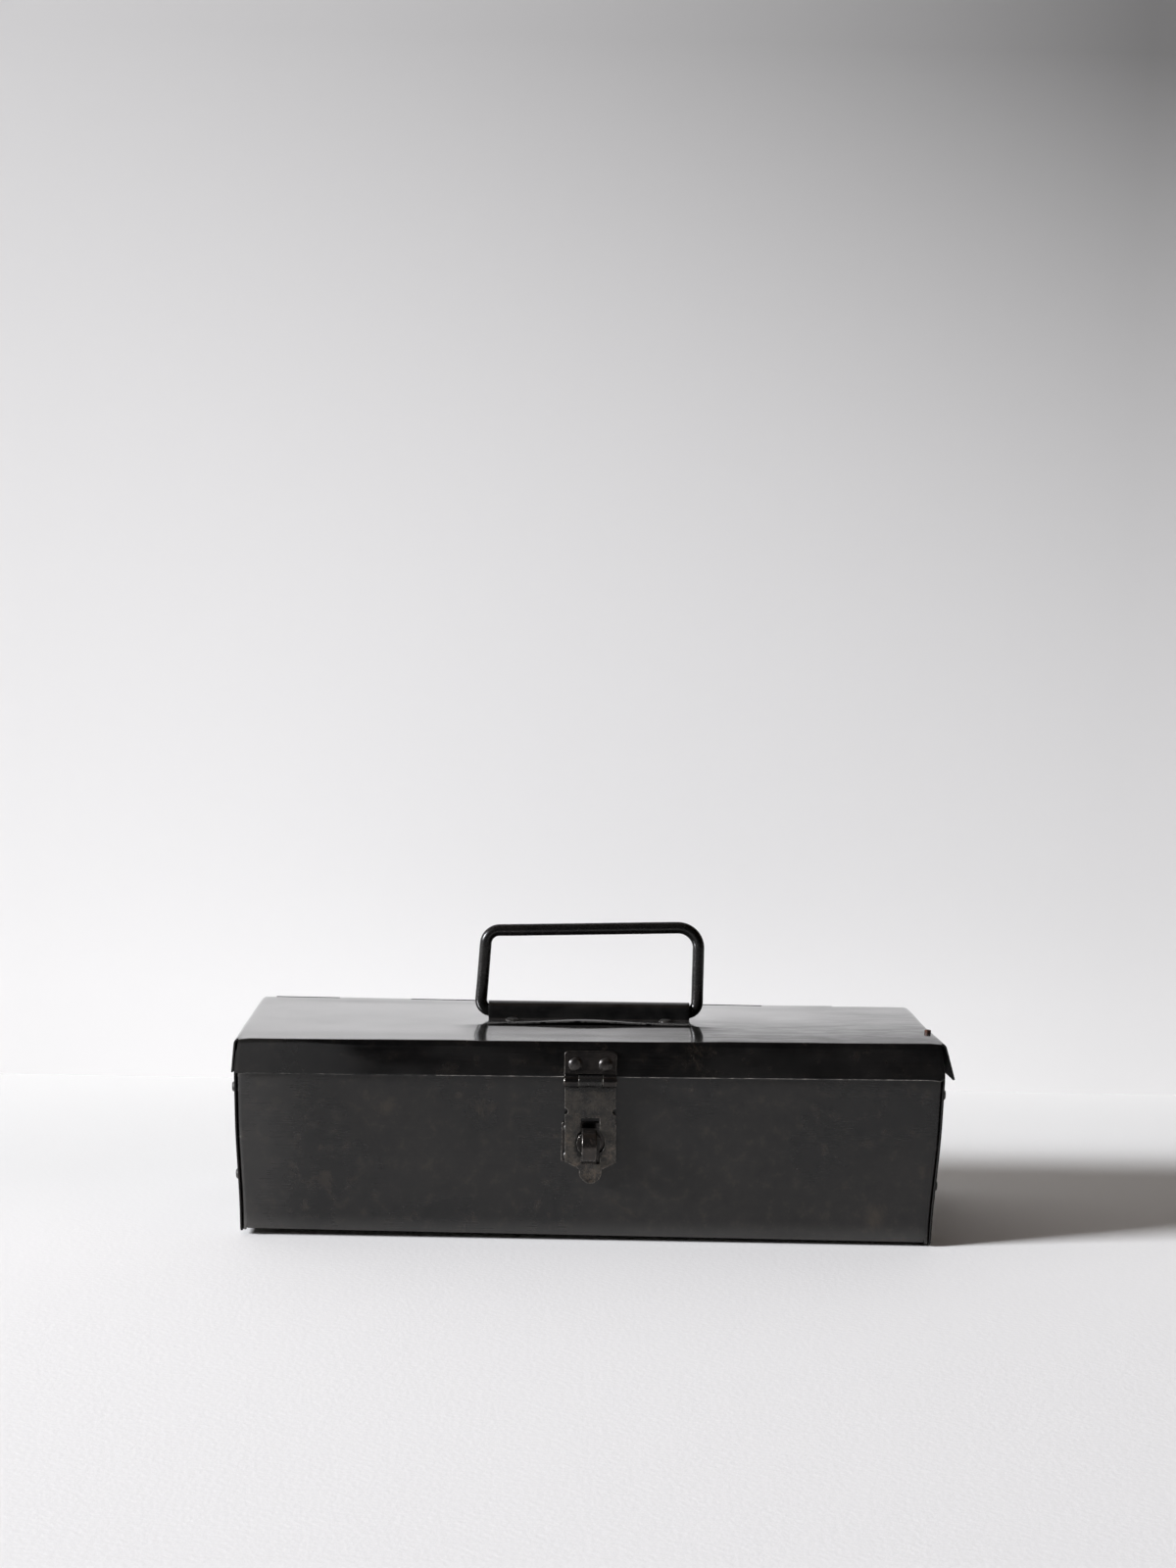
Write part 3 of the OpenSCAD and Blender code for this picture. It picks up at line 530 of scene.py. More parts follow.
# pressed from the same sheet, polished by the handle: tighter highlights, dust on its flanges
bracketSteel = blackenedSheet("oiled_black_sheet_bracket", dict(
    sheetLook, black="#0e0e0e", cloud="#1c1b1a", roughness=0.2, roughnessSpread=0.06,
    dustAmount=0.12, cloudSize=14, wax=0.6, stainSize=60))
# drawn rod, blackened and waxed by hands: a smooth, dark, fairly sharp shine
rodSteel = handledSteel("waxed_black_rod", dict(
    hardwareLook, dark="#181817", brown="#23211f", rust="#2c2723", bare="#3f3d3b",
    roughness=0.24, patchSize=16, pitSize=2.2, rustAmount=0.2))
# pressed hasp steel, handled clean: dark metal with bright worn edges
haspSteel = handledSteel("handled_steel_hasp", dict(
    hardwareLook, dark="#262525", brown="#3b3734", metal=0.85, roughness=0.2, rustAmount=0.35))
# forged eye, polished by the strap, with painted shade darkening its seat
eyeSteel = handledSteel("worn_steel_eye", dict(
    hardwareLook, dark="#32302f", brown="#45403c", metal=0.8, roughness=0.2, seatShade=1.0))
# the strap hangs free and damp, so it is browner and rougher than the leaf
# painted shade darkens the strap round the eye's opening
strapSteel = handledSteel("rusted_steel_strap", dict(
    hardwareLook, dark="#2a2928", brown="#44403a", rust="#4c4136", lowRust=0.12, metal=0.6,
    roughness=0.25, seatShade=0.85, patchSize=6))
# black rivets with rubbed crowns
rivetSteel = handledSteel("black_steel_rivets", dict(
    hardwareLook, dark="#181818", brown="#242220", rust="#33291f", bare="#5f5c58",
    roughness=0.33, patchSize=6, rustAmount=0.25))
leafRivetSteel = handledSteel("rubbed_steel_leaf_rivets", dict(
    hardwareLook, dark="#1c1b1b", brown="#2c2927", bare="#5a5651", metal=0.6, roughness=0.3,
    patchSize=4, rustAmount=0.3))
# bright drawn wire gone dull grey, with rust from the knuckles
wireSteel = handledSteel("drawn_steel_wire", dict(
    hardwareLook, dark="#55534f", brown="#6b6863", rust="#5a4130", bare="#8f8c88",
    roughness=0.36, rustAmount=0.35))
# copper tarnished to a dull red-brown
studCopper = handledSteel("tarnished_copper_stud", dict(
    hardwareLook, dark="#241a15", brown="#4d3225", rust="#33261f", bare="#7a4d38",
    roughness=0.4, patchSize=3, rustAmount=0.4))


# Lid: one blank with a front lip, two end lips and the rolls of the rear hinge

lid = {
    "half": 182.0, "top": 102.5, "sheet": 0.8, "frontY": -64.0, "rearY": 61.45,
    "frontFold": 1.1, "endFold": 3.0, "lip": 18.4,
    "frontLean": 4.0, "leftLean": 4.0, "rightLean": 16.0,    # degrees that the lips stand out
    "flatHalf": 179.74, "lipLowHalf": 181.2, "lipFrontY": -62.2, "lipRearY": 60.5,
    "lipSweep": 1.0,             # the front lip's left end is pushed in by this
    "lipBulge": 0.6, "lipTuck": 0.5,    # the right lip stands out at its front
    "hingeY": 63.75, "hingeZ": 100.45, "rollOuter": 2.05, "rollOpen": 65, "knuckles": 9,
    "hingeHalf": 177.85, "knuckleGap": 0.4,
    # the top bows down all over, sags before the bracket and is crowned along its front
    "wave": 0.16, "lipWave": 0.2, "bow": 0.25, "calmHalf": (22, 14),
    "sag": 0.55, "edgeSag": 0.6, "sagAcross": (72, 50), "sagEnd": -46.0, "sagRun": 26.0,
    "crown": 0.4, "crownBand": (-40, -64), "edgeBand": (-48, -64),
    "stiffAcross": (70, 52), "stiffAlong": (26, 18),    # the bracket keeps the sheet flat here
    "dent": 0.09, "dentX": -104, "dentZ": 92, "dentLong": 30, "dentTall": 6, "dentSlope": 0.2,
    "hollow": 0.25, "hollowX": -145, "hollowLong": 26,
    "meshStep": 4,
}


# A fold and the lip below it, from the flat outwards: (distance out, height) and share of the lip
def lipProfile(edge, top, radius, lean, drop, cells):
    reach = radius * math.tan(math.radians(90 - lean) / 2)
    points = []
    for k in range(1, 6):
        a = math.radians(90 - (90 - lean) * k / 5)
        points.append((edge - reach + radius * math.cos(a),
                       top - radius + radius * math.sin(a), 0.0))
    length = drop / math.cos(math.radians(lean))
    down = [reach + (length - reach) * k / cells for k in range(1, cells)]
    down = [d for d in down if d < length - 2.4] + [length - 2.0, length - 0.6, length]
    for d in down:
        points.append((edge + d * math.sin(math.radians(lean)),
                       top - d * math.cos(math.radians(lean)), d / length))
    return reach, points


# Where a knuckle of the rear hinge starts and ends
def knuckleSpan(i):
    pitch = 2 * lid["hingeHalf"] / lid["knuckles"]
    low = -lid["hingeHalf"] + i * pitch + lid["knuckleGap"] / 2
    return low, low + pitch - lid["knuckleGap"]


# The top sags before the bracket, and its front margin is pressed down a little
def frontSag(x, y):
    middle = smooth(*lid["sagAcross"], abs(x))
    slope = 1 - (max(0.0, min(lid["sagRun"], y - lid["sagEnd"])) / lid["sagRun"]) ** 2
    sag = lid["sag"] * slope - (lid["sag"] - lid["edgeSag"]) * smooth(*lid["edgeBand"], y)
    return sag * middle + lid["crown"] * smooth(*lid["crownBand"], y) * (1 - middle)


# Waves and dents of the lid's top and lips, in mm along the outward normal
def lidDent(x, y, z, part):
    nearBracket = smooth(*lid["stiffAcross"], abs(x)) * smooth(*lid["stiffAlong"], abs(y))
    edge = smooth(0, 14, lid["rearY"] - y)
    if part == "top":
        bow = lid["wave"] * (1.3 * ripple(x, y, 0, 70, 4.2) + 0.5 * ripple(x, y, 0, 26, 8.1))
        bow -= lid["bow"] * smooth(0, 50, y - lid["frontY"]) * smooth(0, 60, 180 - abs(x)) * edge
        return bow * edge * (1 - nearBracket) - frontSag(x, y)
    # the front lip stays flat behind the hasp's leaf
    calm = 1 - smooth(*lid["calmHalf"], abs(x)) if part == "front" else 1
    bend = lid["lipWave"] * (1.2 * ripple(x, 0, z, 55, 1.7) + 0.5 * ripple(x, y, z, 18, 5.5))
    if part == "front":
        aside = x - lid["dentX"]
        above = z - lid["dentZ"] + lid["dentSlope"] * aside
        bend += lid["dent"] * math.exp(
            -(aside / lid["dentLong"]) ** 2 - (above / lid["dentTall"]) ** 2)
        bend -= lid["hollow"] * math.exp(-((x - lid["hollowX"]) / lid["hollowLong"]) ** 2)
    return bend * calm


def makeLid():
    flatRows = [lid["rearY"], lid["lipRearY"]] + spread(57, -58, 3.5) + [lid["lipFrontY"]]
    frontReach, front = lipProfile(-lid["frontY"], lid["top"], lid["frontFold"], lid["frontLean"],
                                   lid["lip"], 8)
    flatRows.append(lid["frontY"] + frontReach)
    rollRows = arc(lid["hingeY"], lid["hingeZ"], lid["rollOuter"], -270 + lid["rollOpen"], 90, 12)
    marks = sorted({round(v, 3) for i in range(lid["knuckles"]) for v in knuckleSpan(i)})
    inner = [v for v in marks if abs(v) < lid["flatHalf"] - 0.5]
    cols = meeting([-lid["flatHalf"]] + inner + [lid["flatHalf"]], lid["meshStep"])
    _, left = lipProfile(lid["half"], lid["top"], lid["endFold"], lid["leftLean"], lid["lip"], 7)
    _, right = lipProfile(lid["half"], lid["top"], lid["endFold"], lid["rightLean"], lid["lip"], 7)
    left = left[::-1]
    nRoll, nFlat, nLeft = len(rollRows), len(flatRows), len(left)
    rows, columns = nRoll + nFlat + len(front), nLeft + len(cols) + len(right)
    owned = [knuckleSpan(i) for i in range(1, lid["knuckles"], 2)]

    def place(i, j):
        inLeft, inRight = j < nLeft, j >= nLeft + len(cols)
        x = None if inLeft or inRight else cols[j - nLeft]
        if i < nRoll:
            if x is None or not any(a - 0.01 <= x <= b + 0.01 for a, b in owned):
                return None
            y, z = rollRows[i]
            return (x, y, z), 0.35
        if i < nRoll + nFlat:
            y = flatRows[i - nRoll]
            if x is not None:
                z = lid["top"] + lidDent(x, y, 0, "top")
                rub = 0.3 * smooth(4, 0, lid["half"] - 2 - abs(x)) + 0.25 * smooth(5, 0, y + 62)
                return (x, y, z), rub
            if not lid["lipFrontY"] - 0.01 <= y <= lid["lipRearY"] + 0.01:
                return None
            side, profile = (-1, left) if inLeft else (1, right)
            out, z, share = profile[j if inLeft else j - nLeft - len(cols)]
            corner = min(y - lid["lipFrontY"], lid["lipRearY"] - y)
            if share == 1.0 and corner < 0.3:
                y += 0.6 if y < 0 else -0.6
                z += 0.6
            bend = 0
            if inRight:
                bend = lid["lipBulge"] * share * smooth(20, -62, y) - lid["lipTuck"] * share
            rub = 0.6 * (share == 1.0) + 0.4 * smooth(2.5, 0, corner)
            rub = max(rub, 0.25 if share == 0 else 0)
            return (side * (out + bend + lidDent(0, y, z, "end") * share), y, z), rub
        if x is None:
            return None
        out, z, share = front[i - nRoll - nFlat]
        grow = share * (lid["lipLowHalf"] - lid["flatHalf"]) / lid["flatHalf"]
        x *= 1 + grow
        y = -out + lid["lipSweep"] * share * smooth(-100, -165, x)
        dent = lidDent(x, y, z, "front") * min(1, share * 2)
        z -= frontSag(x, -64) * (1 - share)
        end = abs(x) > lid["flatHalf"] * (1 + grow) - 0.01
        if end and share == 1.0:
            x -= math.copysign(0.7, x)
            z += 0.7
        rub = (0.95 + 0.2 * smooth(-120, 0, x)) * (share == 1.0)
        rub += (0.4 if end else 0) + (0.2 if share == 0 else 0)
        return (x, y - dent, z), min(rub, 1.15)

    return foldedBlank("lid_folded_sheet", rows, columns, place, lid["sheet"], lidSteel,
                       "lid", "lid_sheet", flip=True, inside=innerSteel)


print("lid")
makeLid()


# Body: floor, front and back wall from one blank, with corner tabs and floor tabs

shell = {
    "front": -62.5, "back": 62.5, "sheet": 0.8, "endHeight": 97.5, "lean": 2.1,
    "floorFold": 1.3, "cornerFold": 2.8, "tab": 15.0, "tabFold": 1.6, "tabReach": 1.54,
    "floorTab": 12.0, "floorTabHalf": 46.5, "relief": 1.6,
    "hemZ": 100.5, "hemLow": 94.5, "hemHalf": 173.85, "hemGap": 0.2, "rollInner": 1.25,
    "wave": 0.3, "foot": 2.2,    # foot: the floor is pressed up by this inside a low rim
    "calmHalf": (24, 16), "calmUp": (34, 40), "meshStep": 4,
    # brown stains on the front: across, up and radius
    "stains": [(-159, 68, 7), (-104, 66, 7), (-134, 24, 7), (-51, 68, 7), (130, 30, 6),
               (148, 14, 7), (172, 38, 4)],
}
shell["floorHalf"] = (lid["half"] - lid["sheet"] - 0.35 - 1 / math.cos(math.radians(shell["lean"]))
                     - shell["endHeight"] * math.tan(math.radians(shell["lean"])))


# Half the wall's width at a height, less an inset at each side
def wallEdge(z, inset):
    return (shell["floorHalf"] + z * math.tan(math.radians(shell["lean"]))
            - inset / math.cos(math.radians(shell["lean"])))


# Waves of the front and back wall, strongest away from their edges
def bodyDent(x, y, z, part):
    rim = smooth(0, 20, z) * smooth(0, 14, 100 - z)
    bow = shell["wave"] * (1.2 * ripple(x, y, z, 80, 2.3) + 0.4 * ripple(x, y, z, 24, 6.6))
    if part == "front":
        # flat behind the staple's base plate
        bow *= 1 - smooth(*shell["calmHalf"], abs(x)) * smooth(*shell["calmUp"], z)
        return bow * (0.25 + 0.75 * rim)
    return bow * rim


# How stained the front is at a place
def stainAt(x, z):
    return max(math.exp(-((x - a) ** 2 + (z - b) ** 2) / r ** 2) for a, b, r in shell["stains"])


def makeBody():
    front, fold, r = shell["front"], shell["floorFold"], shell["hemGap"] / 2 + shell["sheet"]
    heights = spread(shell["endHeight"], shell["relief"], 3.4)
    tabRows = spread(-shell["floorTabHalf"], shell["floorTabHalf"], 5)
    path = []
    for part, points in [
            ("hem", [(front + 2 * r, z) for z in (shell["hemLow"], shell["hemLow"] + 3)]),
            ("hem", arc(front + r, shell["hemZ"], r, 0, 180, 30)),
            ("front", [(front, z) for z in heights]),
            ("fold", arc(front + fold, fold, fold, 180, 270, 18)),
            ("floor", [(y, 0.0) for y in [-59, -56, -52] + tabRows + [52, 56, 59]]),
            ("fold", arc(shell["back"] - fold, fold, fold, 270, 360, 18)),
            ("back", [(shell["back"], z) for z in heights[::-1]]),
            ("roll", arc(lid["hingeY"], lid["hingeZ"], shell["rollInner"], 180,
                         -180 + lid["rollOpen"], 12))]:
        path += [(y, z, part) for y, z in points]
    marks = sorted(v / lid["hingeHalf"] for i in range(lid["knuckles"]) for v in knuckleSpan(i))
    cols = meeting([-1.0] + [v for v in marks if abs(v) < 0.995] + [1.0], shell["meshStep"] / 176)
    bend = [k * 90 / 4 for k in range(1, 5)]
    run = spread(shell["cornerFold"], shell["tab"], 4)[1:]
    nTab = len(bend) + len(run)
    owned = [knuckleSpan(i) for i in range(0, lid["knuckles"], 2)]

    def place(i, j):
        y, z, part = path[i]
        k = j - nTab
        if 0 <= k < len(cols):
            u = cols[k]
            half = wallEdge(max(z, fold), shell["cornerFold"])
            if part == "floor":
                half = shell["floorHalf"] - shell["tabReach"]
            if z > shell["endHeight"] + 0.01:
                half = wallEdge(shell["endHeight"], shell["cornerFold"])
            if part == "roll":
                x = u * lid["hingeHalf"]
                if not any(a - 0.01 <= x <= b + 0.01 for a, b in owned):
                    return None
                return (x, y, z), 0.35
            if part == "hem":
                half = shell["hemHalf"]
            x = u * half
            rub, stain = 0.0, 0.0
            if part == "front":
                stain = stainAt(x, z)
                y -= bodyDent(x, y, z, part)
                rub = 0.2 * smooth(6, 0, z)
            elif part == "back":
                y += bodyDent(x, y, z, part)
            elif part == "floor":
                z += shell["foot"] * smooth(30, 56, abs(y)) + 0.1 * (1 + ripple(x, y, 0, 60, 3.3))
            elif part == "fold":
                rub = 0.3
            if part in ("fold", "front", "back"):
                z += shell["foot"] * smooth(12, 2, z)
            return (x, y, z), rub, stain
        side = -1 if k < 0 else 1
        n = (-k if k < 0 else k - len(cols) + 1) - 1
        if part in ("front", "back"):
            out = -1 if part == "front" else 1
            start, wall = wallEdge(z, shell["cornerFold"]), shell["back"]
            c = shell["cornerFold"]
            if n < len(bend):
                a = math.radians(bend[n])
                return (side * (start + c * math.sin(a)),
                        out * (wall - c + c * math.cos(a)), z), 0.6
            return (side * (start + c), out * (wall - run[n - len(bend)]), z), 0.0
        if part == "floor" and abs(y) <= shell["floorTabHalf"] + 0.01:
            c, reach = shell["tabFold"], shell["tabReach"]
            lean = math.radians(shell["lean"])
            if n < len(bend):
                a = math.radians(270 + bend[n] * (90 - shell["lean"]) / 90)
                return (side * (shell["floorHalf"] - reach + c * math.cos(a)), y,
                        c + c * math.sin(a)), 0.2
            share = (n - len(bend) + 1) / len(run)
            d = reach + (shell["floorTab"] - reach) * share
            return (side * (shell["floorHalf"] + d * math.sin(lean)), y, d * math.cos(lean)), 0.0
        return None

    return foldedBlank("body_folded_sheet", len(path), len(cols) + 2 * nTab, place, shell["sheet"],
                       bodySteel, "box", "body_wrap", flip=True, inside=innerSteel)


print("body")
makeBody()


# End plates: flat blanks with rounded corners over the tabs

endPlate = {"thick": 1.0, "width": 124.4, "radius": 3.0, "low": 0.4, "wave": 0.35}


def makeEndPlate(side):
    lean = math.radians(shell["lean"])
    length = shell["endHeight"] / math.cos(lean)
    w, r = endPlate["width"] / 2, endPlate["radius"]
    across = [-w, -w + r / 2] + spread(-w + r, w - r, 4) + [w - r / 2, w]
    low, high = endPlate["low"], length
    up = [low, low + r / 2] + spread(low + r, high - r, 4) + [high - r / 2, high]

    def place(i, j):
        y, z = across[j if side > 0 else -1 - j], up[i]
        mid = (low + high) / 2
        p = (abs(y) - (w - r)) / r
        q = (abs(z - mid) - ((high - low) / 2 - r)) / r
        if p > 0 and q > 0:
            y = math.copysign(w - r + r * p * math.sqrt(1 - q * q / 2), y)
            z = mid + math.copysign((high - low) / 2 - r + r * q * math.sqrt(1 - p * p / 2),
                                    z - mid)
        rim = smooth(0, 26, w - abs(y)) * smooth(0, 26, min(z, high - z))
        dent = endPlate["wave"] * (1.5 * ripple(side * 9, y, z, 55, 7.7)
                                   + 0.4 * ripple(side * 9, y, z, 20, 1.3)) * rim
        out = endPlate["thick"] + dent
        edge = min(w - abs(y), z - low, high - z)
        x = side * (shell["floorHalf"] + out * math.cos(lean) + z * math.sin(lean))
        return (x, y, z * math.cos(lean) - out * math.sin(lean)), 0.3 * smooth(1.5, 0, edge)

    name = "right_end_plate" if side > 0 else "left_end_plate"
    return foldedBlank(name + "_sheet", len(up), len(across), place, endPlate["thick"], bodySteel,
                       "box", name, inside=innerSteel, darkRim=True)


print("end plates")
makeEndPlate(-1)
makeEndPlate(1)


# Saddle bracket: one strip pressed over the rod, its front flange sprung up between the rivets

bracket = {
    "sheet": 0.85, "depth": 40.0, "half": 53.67, "pivot": 5.05, "saddle": 3.975, "fold": 0.8,
    "lift": 2.2, "liftX": -3.0, "liftWidth": 27.0,    # how far, and where, the flange is sprung
    "edgeWave": 0.4, "gap": 0.3, "curl": 0.9, "rearWave": 0.15,
}


def makeBracket():
    t, s, f = bracket["sheet"], bracket["saddle"], bracket["fold"]
    outer = s + t
    half = [(y, t) for y in spread(bracket["depth"] / 2, outer + f, 1.6)]
    half += [(outer + f - f * math.sin(math.radians(a)), t + f - f * math.cos(math.radians(a)))
             for a in (22, 45, 67, 90)]
    half += arc(0, bracket["pivot"], outer, 0, 90, 15)
    path = [(-y, z) for y, z in half] + [(y, z) for y, z in half[-2::-1]]
    cols = spread(-bracket["half"], bracket["half"], 2.4)

    def place(i, j):
        y, z = path[i]
        x = cols[j]
        out = smooth(outer + f, bracket["depth"] / 2, abs(y))
        if y < 0:
            spring = math.exp(-((x - bracket["liftX"]) / bracket["liftWidth"]) ** 2)
            z += out * (bracket["gap"] + bracket["lift"] * spring)
            z -= bracket["curl"] * spring * smooth(3.2, 0, bracket["depth"] / 2 - abs(y))
            y += out * bracket["edgeWave"] * (ripple(x, 0, 0, 22, 3.9) - 0.4 * spring)
        else:
            z += out * bracket["rearWave"] * (1 + ripple(x, y, 0, 18, 2.9))
        end = smooth(2.5, 0, bracket["half"] - abs(x))
        edge = smooth(1.2, 0, bracket["depth"] / 2 - abs(path[i][0]))
        return (x, y, lid["top"] + z), max(0.55 * end, (0.95 if y < 0 else 0.7) * edge)

    return foldedBlank("handle_saddle_bracket", len(path), len(cols), place, t, bracketSteel,
                       "lid", "handle_bracket", edge=0.12)


print("bracket")
makeBracket()


# Handle: round rod bent by hand, swept with slightly flattened bends

handle = {
    "rod": 6.35, "legX": 58.08, "rise": 46.2, "fall": 3.0, "leftLean": 3.7, "pivotZ": 107.25,
    "slide": -0.2, "seam": 1.2, "radii": (5.6, 11.0, 7.5, 5.6), "flatten": 0.05,
    "lean": 0.9,     # the grip leans back on the right, so it clears the lid when folded forward
    "bow": 0.35, "uneven": 0.07, "sides": 28,
}


def makeHandle():
    x, top = handle["legX"], handle["rise"]
    leftX = -x + (top - handle["fall"]) * math.tan(math.radians(handle["leftLean"]))
    corners = [(handle["seam"] / 2, 0, 0), (x, 0, 0), (x, 0, top), (leftX, 0, top - handle["fall"]),
               (-x, 0, 0), (-handle["seam"] / 2, 0, 0)]
    path = roundedPath(corners, handle["radii"], 1.0)
    sides = handle["sides"]
    verts = []
    for n, p in enumerate(path):
        ahead, behind = path[min(n + 1, len(path) - 1)], path[max(n - 1, 0)]
        d = (ahead - behind).normalized()
        u = Vector((0, 1, 0))
        w = d.cross(u)
        turn = 0.0
        if 3 < n < len(path) - 4:
            turn = (path[n + 3] - p).angle(p - path[n - 3])
        free = smooth(8, 14, p.z)
        sway = handle["bow"] * free * Vector((0.4 * ripple(p.x, 0, p.z, 30, 4.4),
                                              1.4 * ripple(p.x, 0, p.z, 60, 2.2), 0))
        for k in range(sides):
            a = 2 * math.pi * k / sides
            r = handle["rod"] / 2
            r *= 1 - handle["flatten"] * min(1, turn) * abs(math.cos(a)) * free
            r += handle["uneven"] * ripple(p.x + 8 * math.cos(a), 8 * math.sin(a), p.z, 9, 6.1)
            q = p + sway + u * (r * math.sin(a)) + w * (r * math.cos(a))
            back = handle["lean"] * max(0.0, p.z) / top * smooth(-60, 60, p.x)
            verts.append((q.x + handle["slide"], q.y + back, q.z + handle["pivotZ"]))
    faces = []
    for n in range(len(path) - 1):
        for k in range(sides):
            a, b = n * sides + k, n * sides + (k + 1) % sides
            faces.append((a, b, b + sides, a + sides))
    faces.append(tuple(range(sides))[::-1])
    last = (len(path) - 1) * sides
    faces.append(tuple(range(last, last + sides)))
    return newPiece("carrying_handle_rod", verts, faces, rodSteel, "handle", ["carrying_handle"])


print("handle")
makeHandle()


# Hasp: leaf, strap and staple remeshed fine, so that every edge is worn round

hasp = {
    "voxel": 0.22, "hang": 1.1, "pinZ": 82.51, "tongueZ": 33.5, "dimple": 0.4,
    "studShift": 1.1,    # mm that the lid's stud sits further right than in the solids
}


# The strap hangs a little to the right, is rippled, and has a thumb dimple in its tongue
def strapShape(p):
    x, y, z = p
    down = max(0.0, hasp["pinZ"] - z)
    x += hasp["hang"] * min(1.0, down / 42)
    y += 0.16 * ripple(x, 0, z, 13, 5.2) * smooth(4, 12, down)
    y += hasp["dimple"] * math.exp(-((x - 1) / 3.2) ** 2 - ((z - hasp["tongueZ"]) / 2.8) ** 2)
    edge = 0.22 * ripple(x, 0, z, 3.5, 8.8) * smooth(40, 34, z)
    return Vector((x + edge, y, z + edge))


# Pressed plates are slightly uneven
def leafShape(p):
    x, y, z = p
    return Vector((x + 0.08 * ripple(x, 0, z, 6, 1.9), y + 0.06 * ripple(x, 0, z, 9, 2.5), z))


# The forged eye is a little lumpy
def stapleShape(p):
    x, y, z = p
    return Vector((x + 0.10 * ripple(x, y, z, 4, 3.1), y, z + 0.08 * ripple(x, y, z, 5, 4.7)))


def studShape(p):
    return Vector((p.x + hasp["studShift"], p.y, p.z))


print("hasp, rivets, wire and stud")
worn = hasp["voxel"]
for node, name, material, rider, slotName, edge, voxel, shape in [
        ("hasp_strap", "hasp_slotted_strap", strapSteel, "strap", "worn_hasp", 0, worn, strapShape),
        ("hasp_leaf", "hasp_riveted_leaf", haspSteel, "lid", "worn_hasp", 0, worn, leafShape),
        ("turn_staple", "swivel_staple_eye", eyeSteel, "staple", "worn_hasp", 0, worn,
         stapleShape),
        ("staple_plate", "staple_base_plate", haspSteel, "box", "worn_hasp", 0, worn, leafShape),
        ("staple_washer", "staple_back_washer", haspSteel, "box", "worn_hasp", 0.2, 0, None),
        ("staple_plate_rivets", "base_plate_rivet_heads", rivetSteel, "box", "worn_hasp",
         0, 0, None),
        ("hasp_leaf_rivets", "leaf_rivet_heads", leafRivetSteel, "lid", "black_rivets",
         0.2, 0, None),
        ("hasp_pin", "hasp_hinge_pin", haspSteel, "lid", "worn_hasp", 0.3, 0, None),
        ("left_end_rivets", "left_end_rivet_heads", rivetSteel, "box", "black_rivets", 0, 0, None),
        ("right_end_rivets", "right_end_rivet_heads", rivetSteel, "box", "black_rivets",
         0, 0, None),
        ("bracket_front_rivets", "bracket_front_rivet_heads", rivetSteel, "lid", "black_rivets",
         0, 0, None),
        ("bracket_rear_rivets", "bracket_rear_rivet_heads", rivetSteel, "lid", "black_rivets",
         0, 0, None),
        ("hinge_wire", "rear_hinge_wire", wireSteel, "box", "bare_wire", 0.2, 0, None),
        ("lid_stud", "lid_end_stud", studCopper, "lid", "copper_stud", 0.3, 0, studShape)]:
    dressedCopy(node, name, material, rider, edge, voxel, shape)


# Stage: matt white floor and a wall close behind, lit from a window on the left; painted shade and
# light grade the wall's and the floor's colours. Places and sizes are in metres.

stage = {
    # painted light: the floor's colour is lighter towards the front
    "floor": "#dfdedb", "floorFront": "#ebe9e6", "frontBand": (0.1, -0.12),
    "wall": "#f7f5f2", "wallY": 0.33, "flag": "#1a1917", "flagY": -1.4,
    # painted shade: the wall's colour darkens upwards, to its right end and beyond it, and a little
    # at its foot, as the window's light falls off
    "wallDark": (0.02, 0.018, 0.015, 1), "wallAcross": (-0.37, 0.36), "wallUp": 0.69,
    "upPower": 1.95, "upLeft": 0.25, "upRight": 0.70, "ends": 0.30,
    "beyondBand": (0.42, 1.1), "beyond": 0.95, "lowBand": 0.06, "low": 0.035,
    "world": "#4e3415", "room": "#dad8d4", "window": "#f5f8ff", "windowPower": 4750.0,
    "windowPlace": (-12.6, -3.5, 4.95), "windowSize": (3.4, 2.8), "windowAim": (0, 0, 0.05),
}


def stagePlane(name, corners, material):
    mesh = bpy.data.meshes.new(name)
    mesh.from_pydata(corners, [], [(0, 1, 2, 3)])
    plane = newObject(name, mesh)
    mesh.materials.append(material)
    return plane


# Painted light: the floor's colour grows lighter towards the front, across the front band
def floorPaintedLight():
    material, tree = newMaterial("matt_white_floor")
    point = addNode(tree, "TexCoord").outputs["Object"]
    grit = addNode(tree, "TexNoise", {"Scale": 350.0, "Detail": 4.0}, {"Vector": point})
    skin = addNode(tree, "Bump", {"Strength": 0.3, "Distance": 0.3 * mm}, {"Height": grit})
    spot = addNode(tree, "SeparateXYZ", None, {0: point})
    ahead = addNode(tree, "MapRange", {
        "interpolation_type": "SMOOTHSTEP", "From Min": stage["frontBand"][0],
        "From Max": stage["frontBand"][1]}, {"Value": spot.outputs["Y"]})
    colour = addNode(tree, "Mix", {
        "data_type": "RGBA", 6: linear(stage["floor"]), 7: linear(stage["floorFront"])},
        {0: ahead})
    shader = addNode(tree, "BsdfPrincipled", {"Roughness": 0.85, "Specular IOR Level": 0.2},
                     {"Base Color": colour, "Normal": skin})
    addNode(tree, "OutputMaterial", None, {"Surface": shader})
    return material
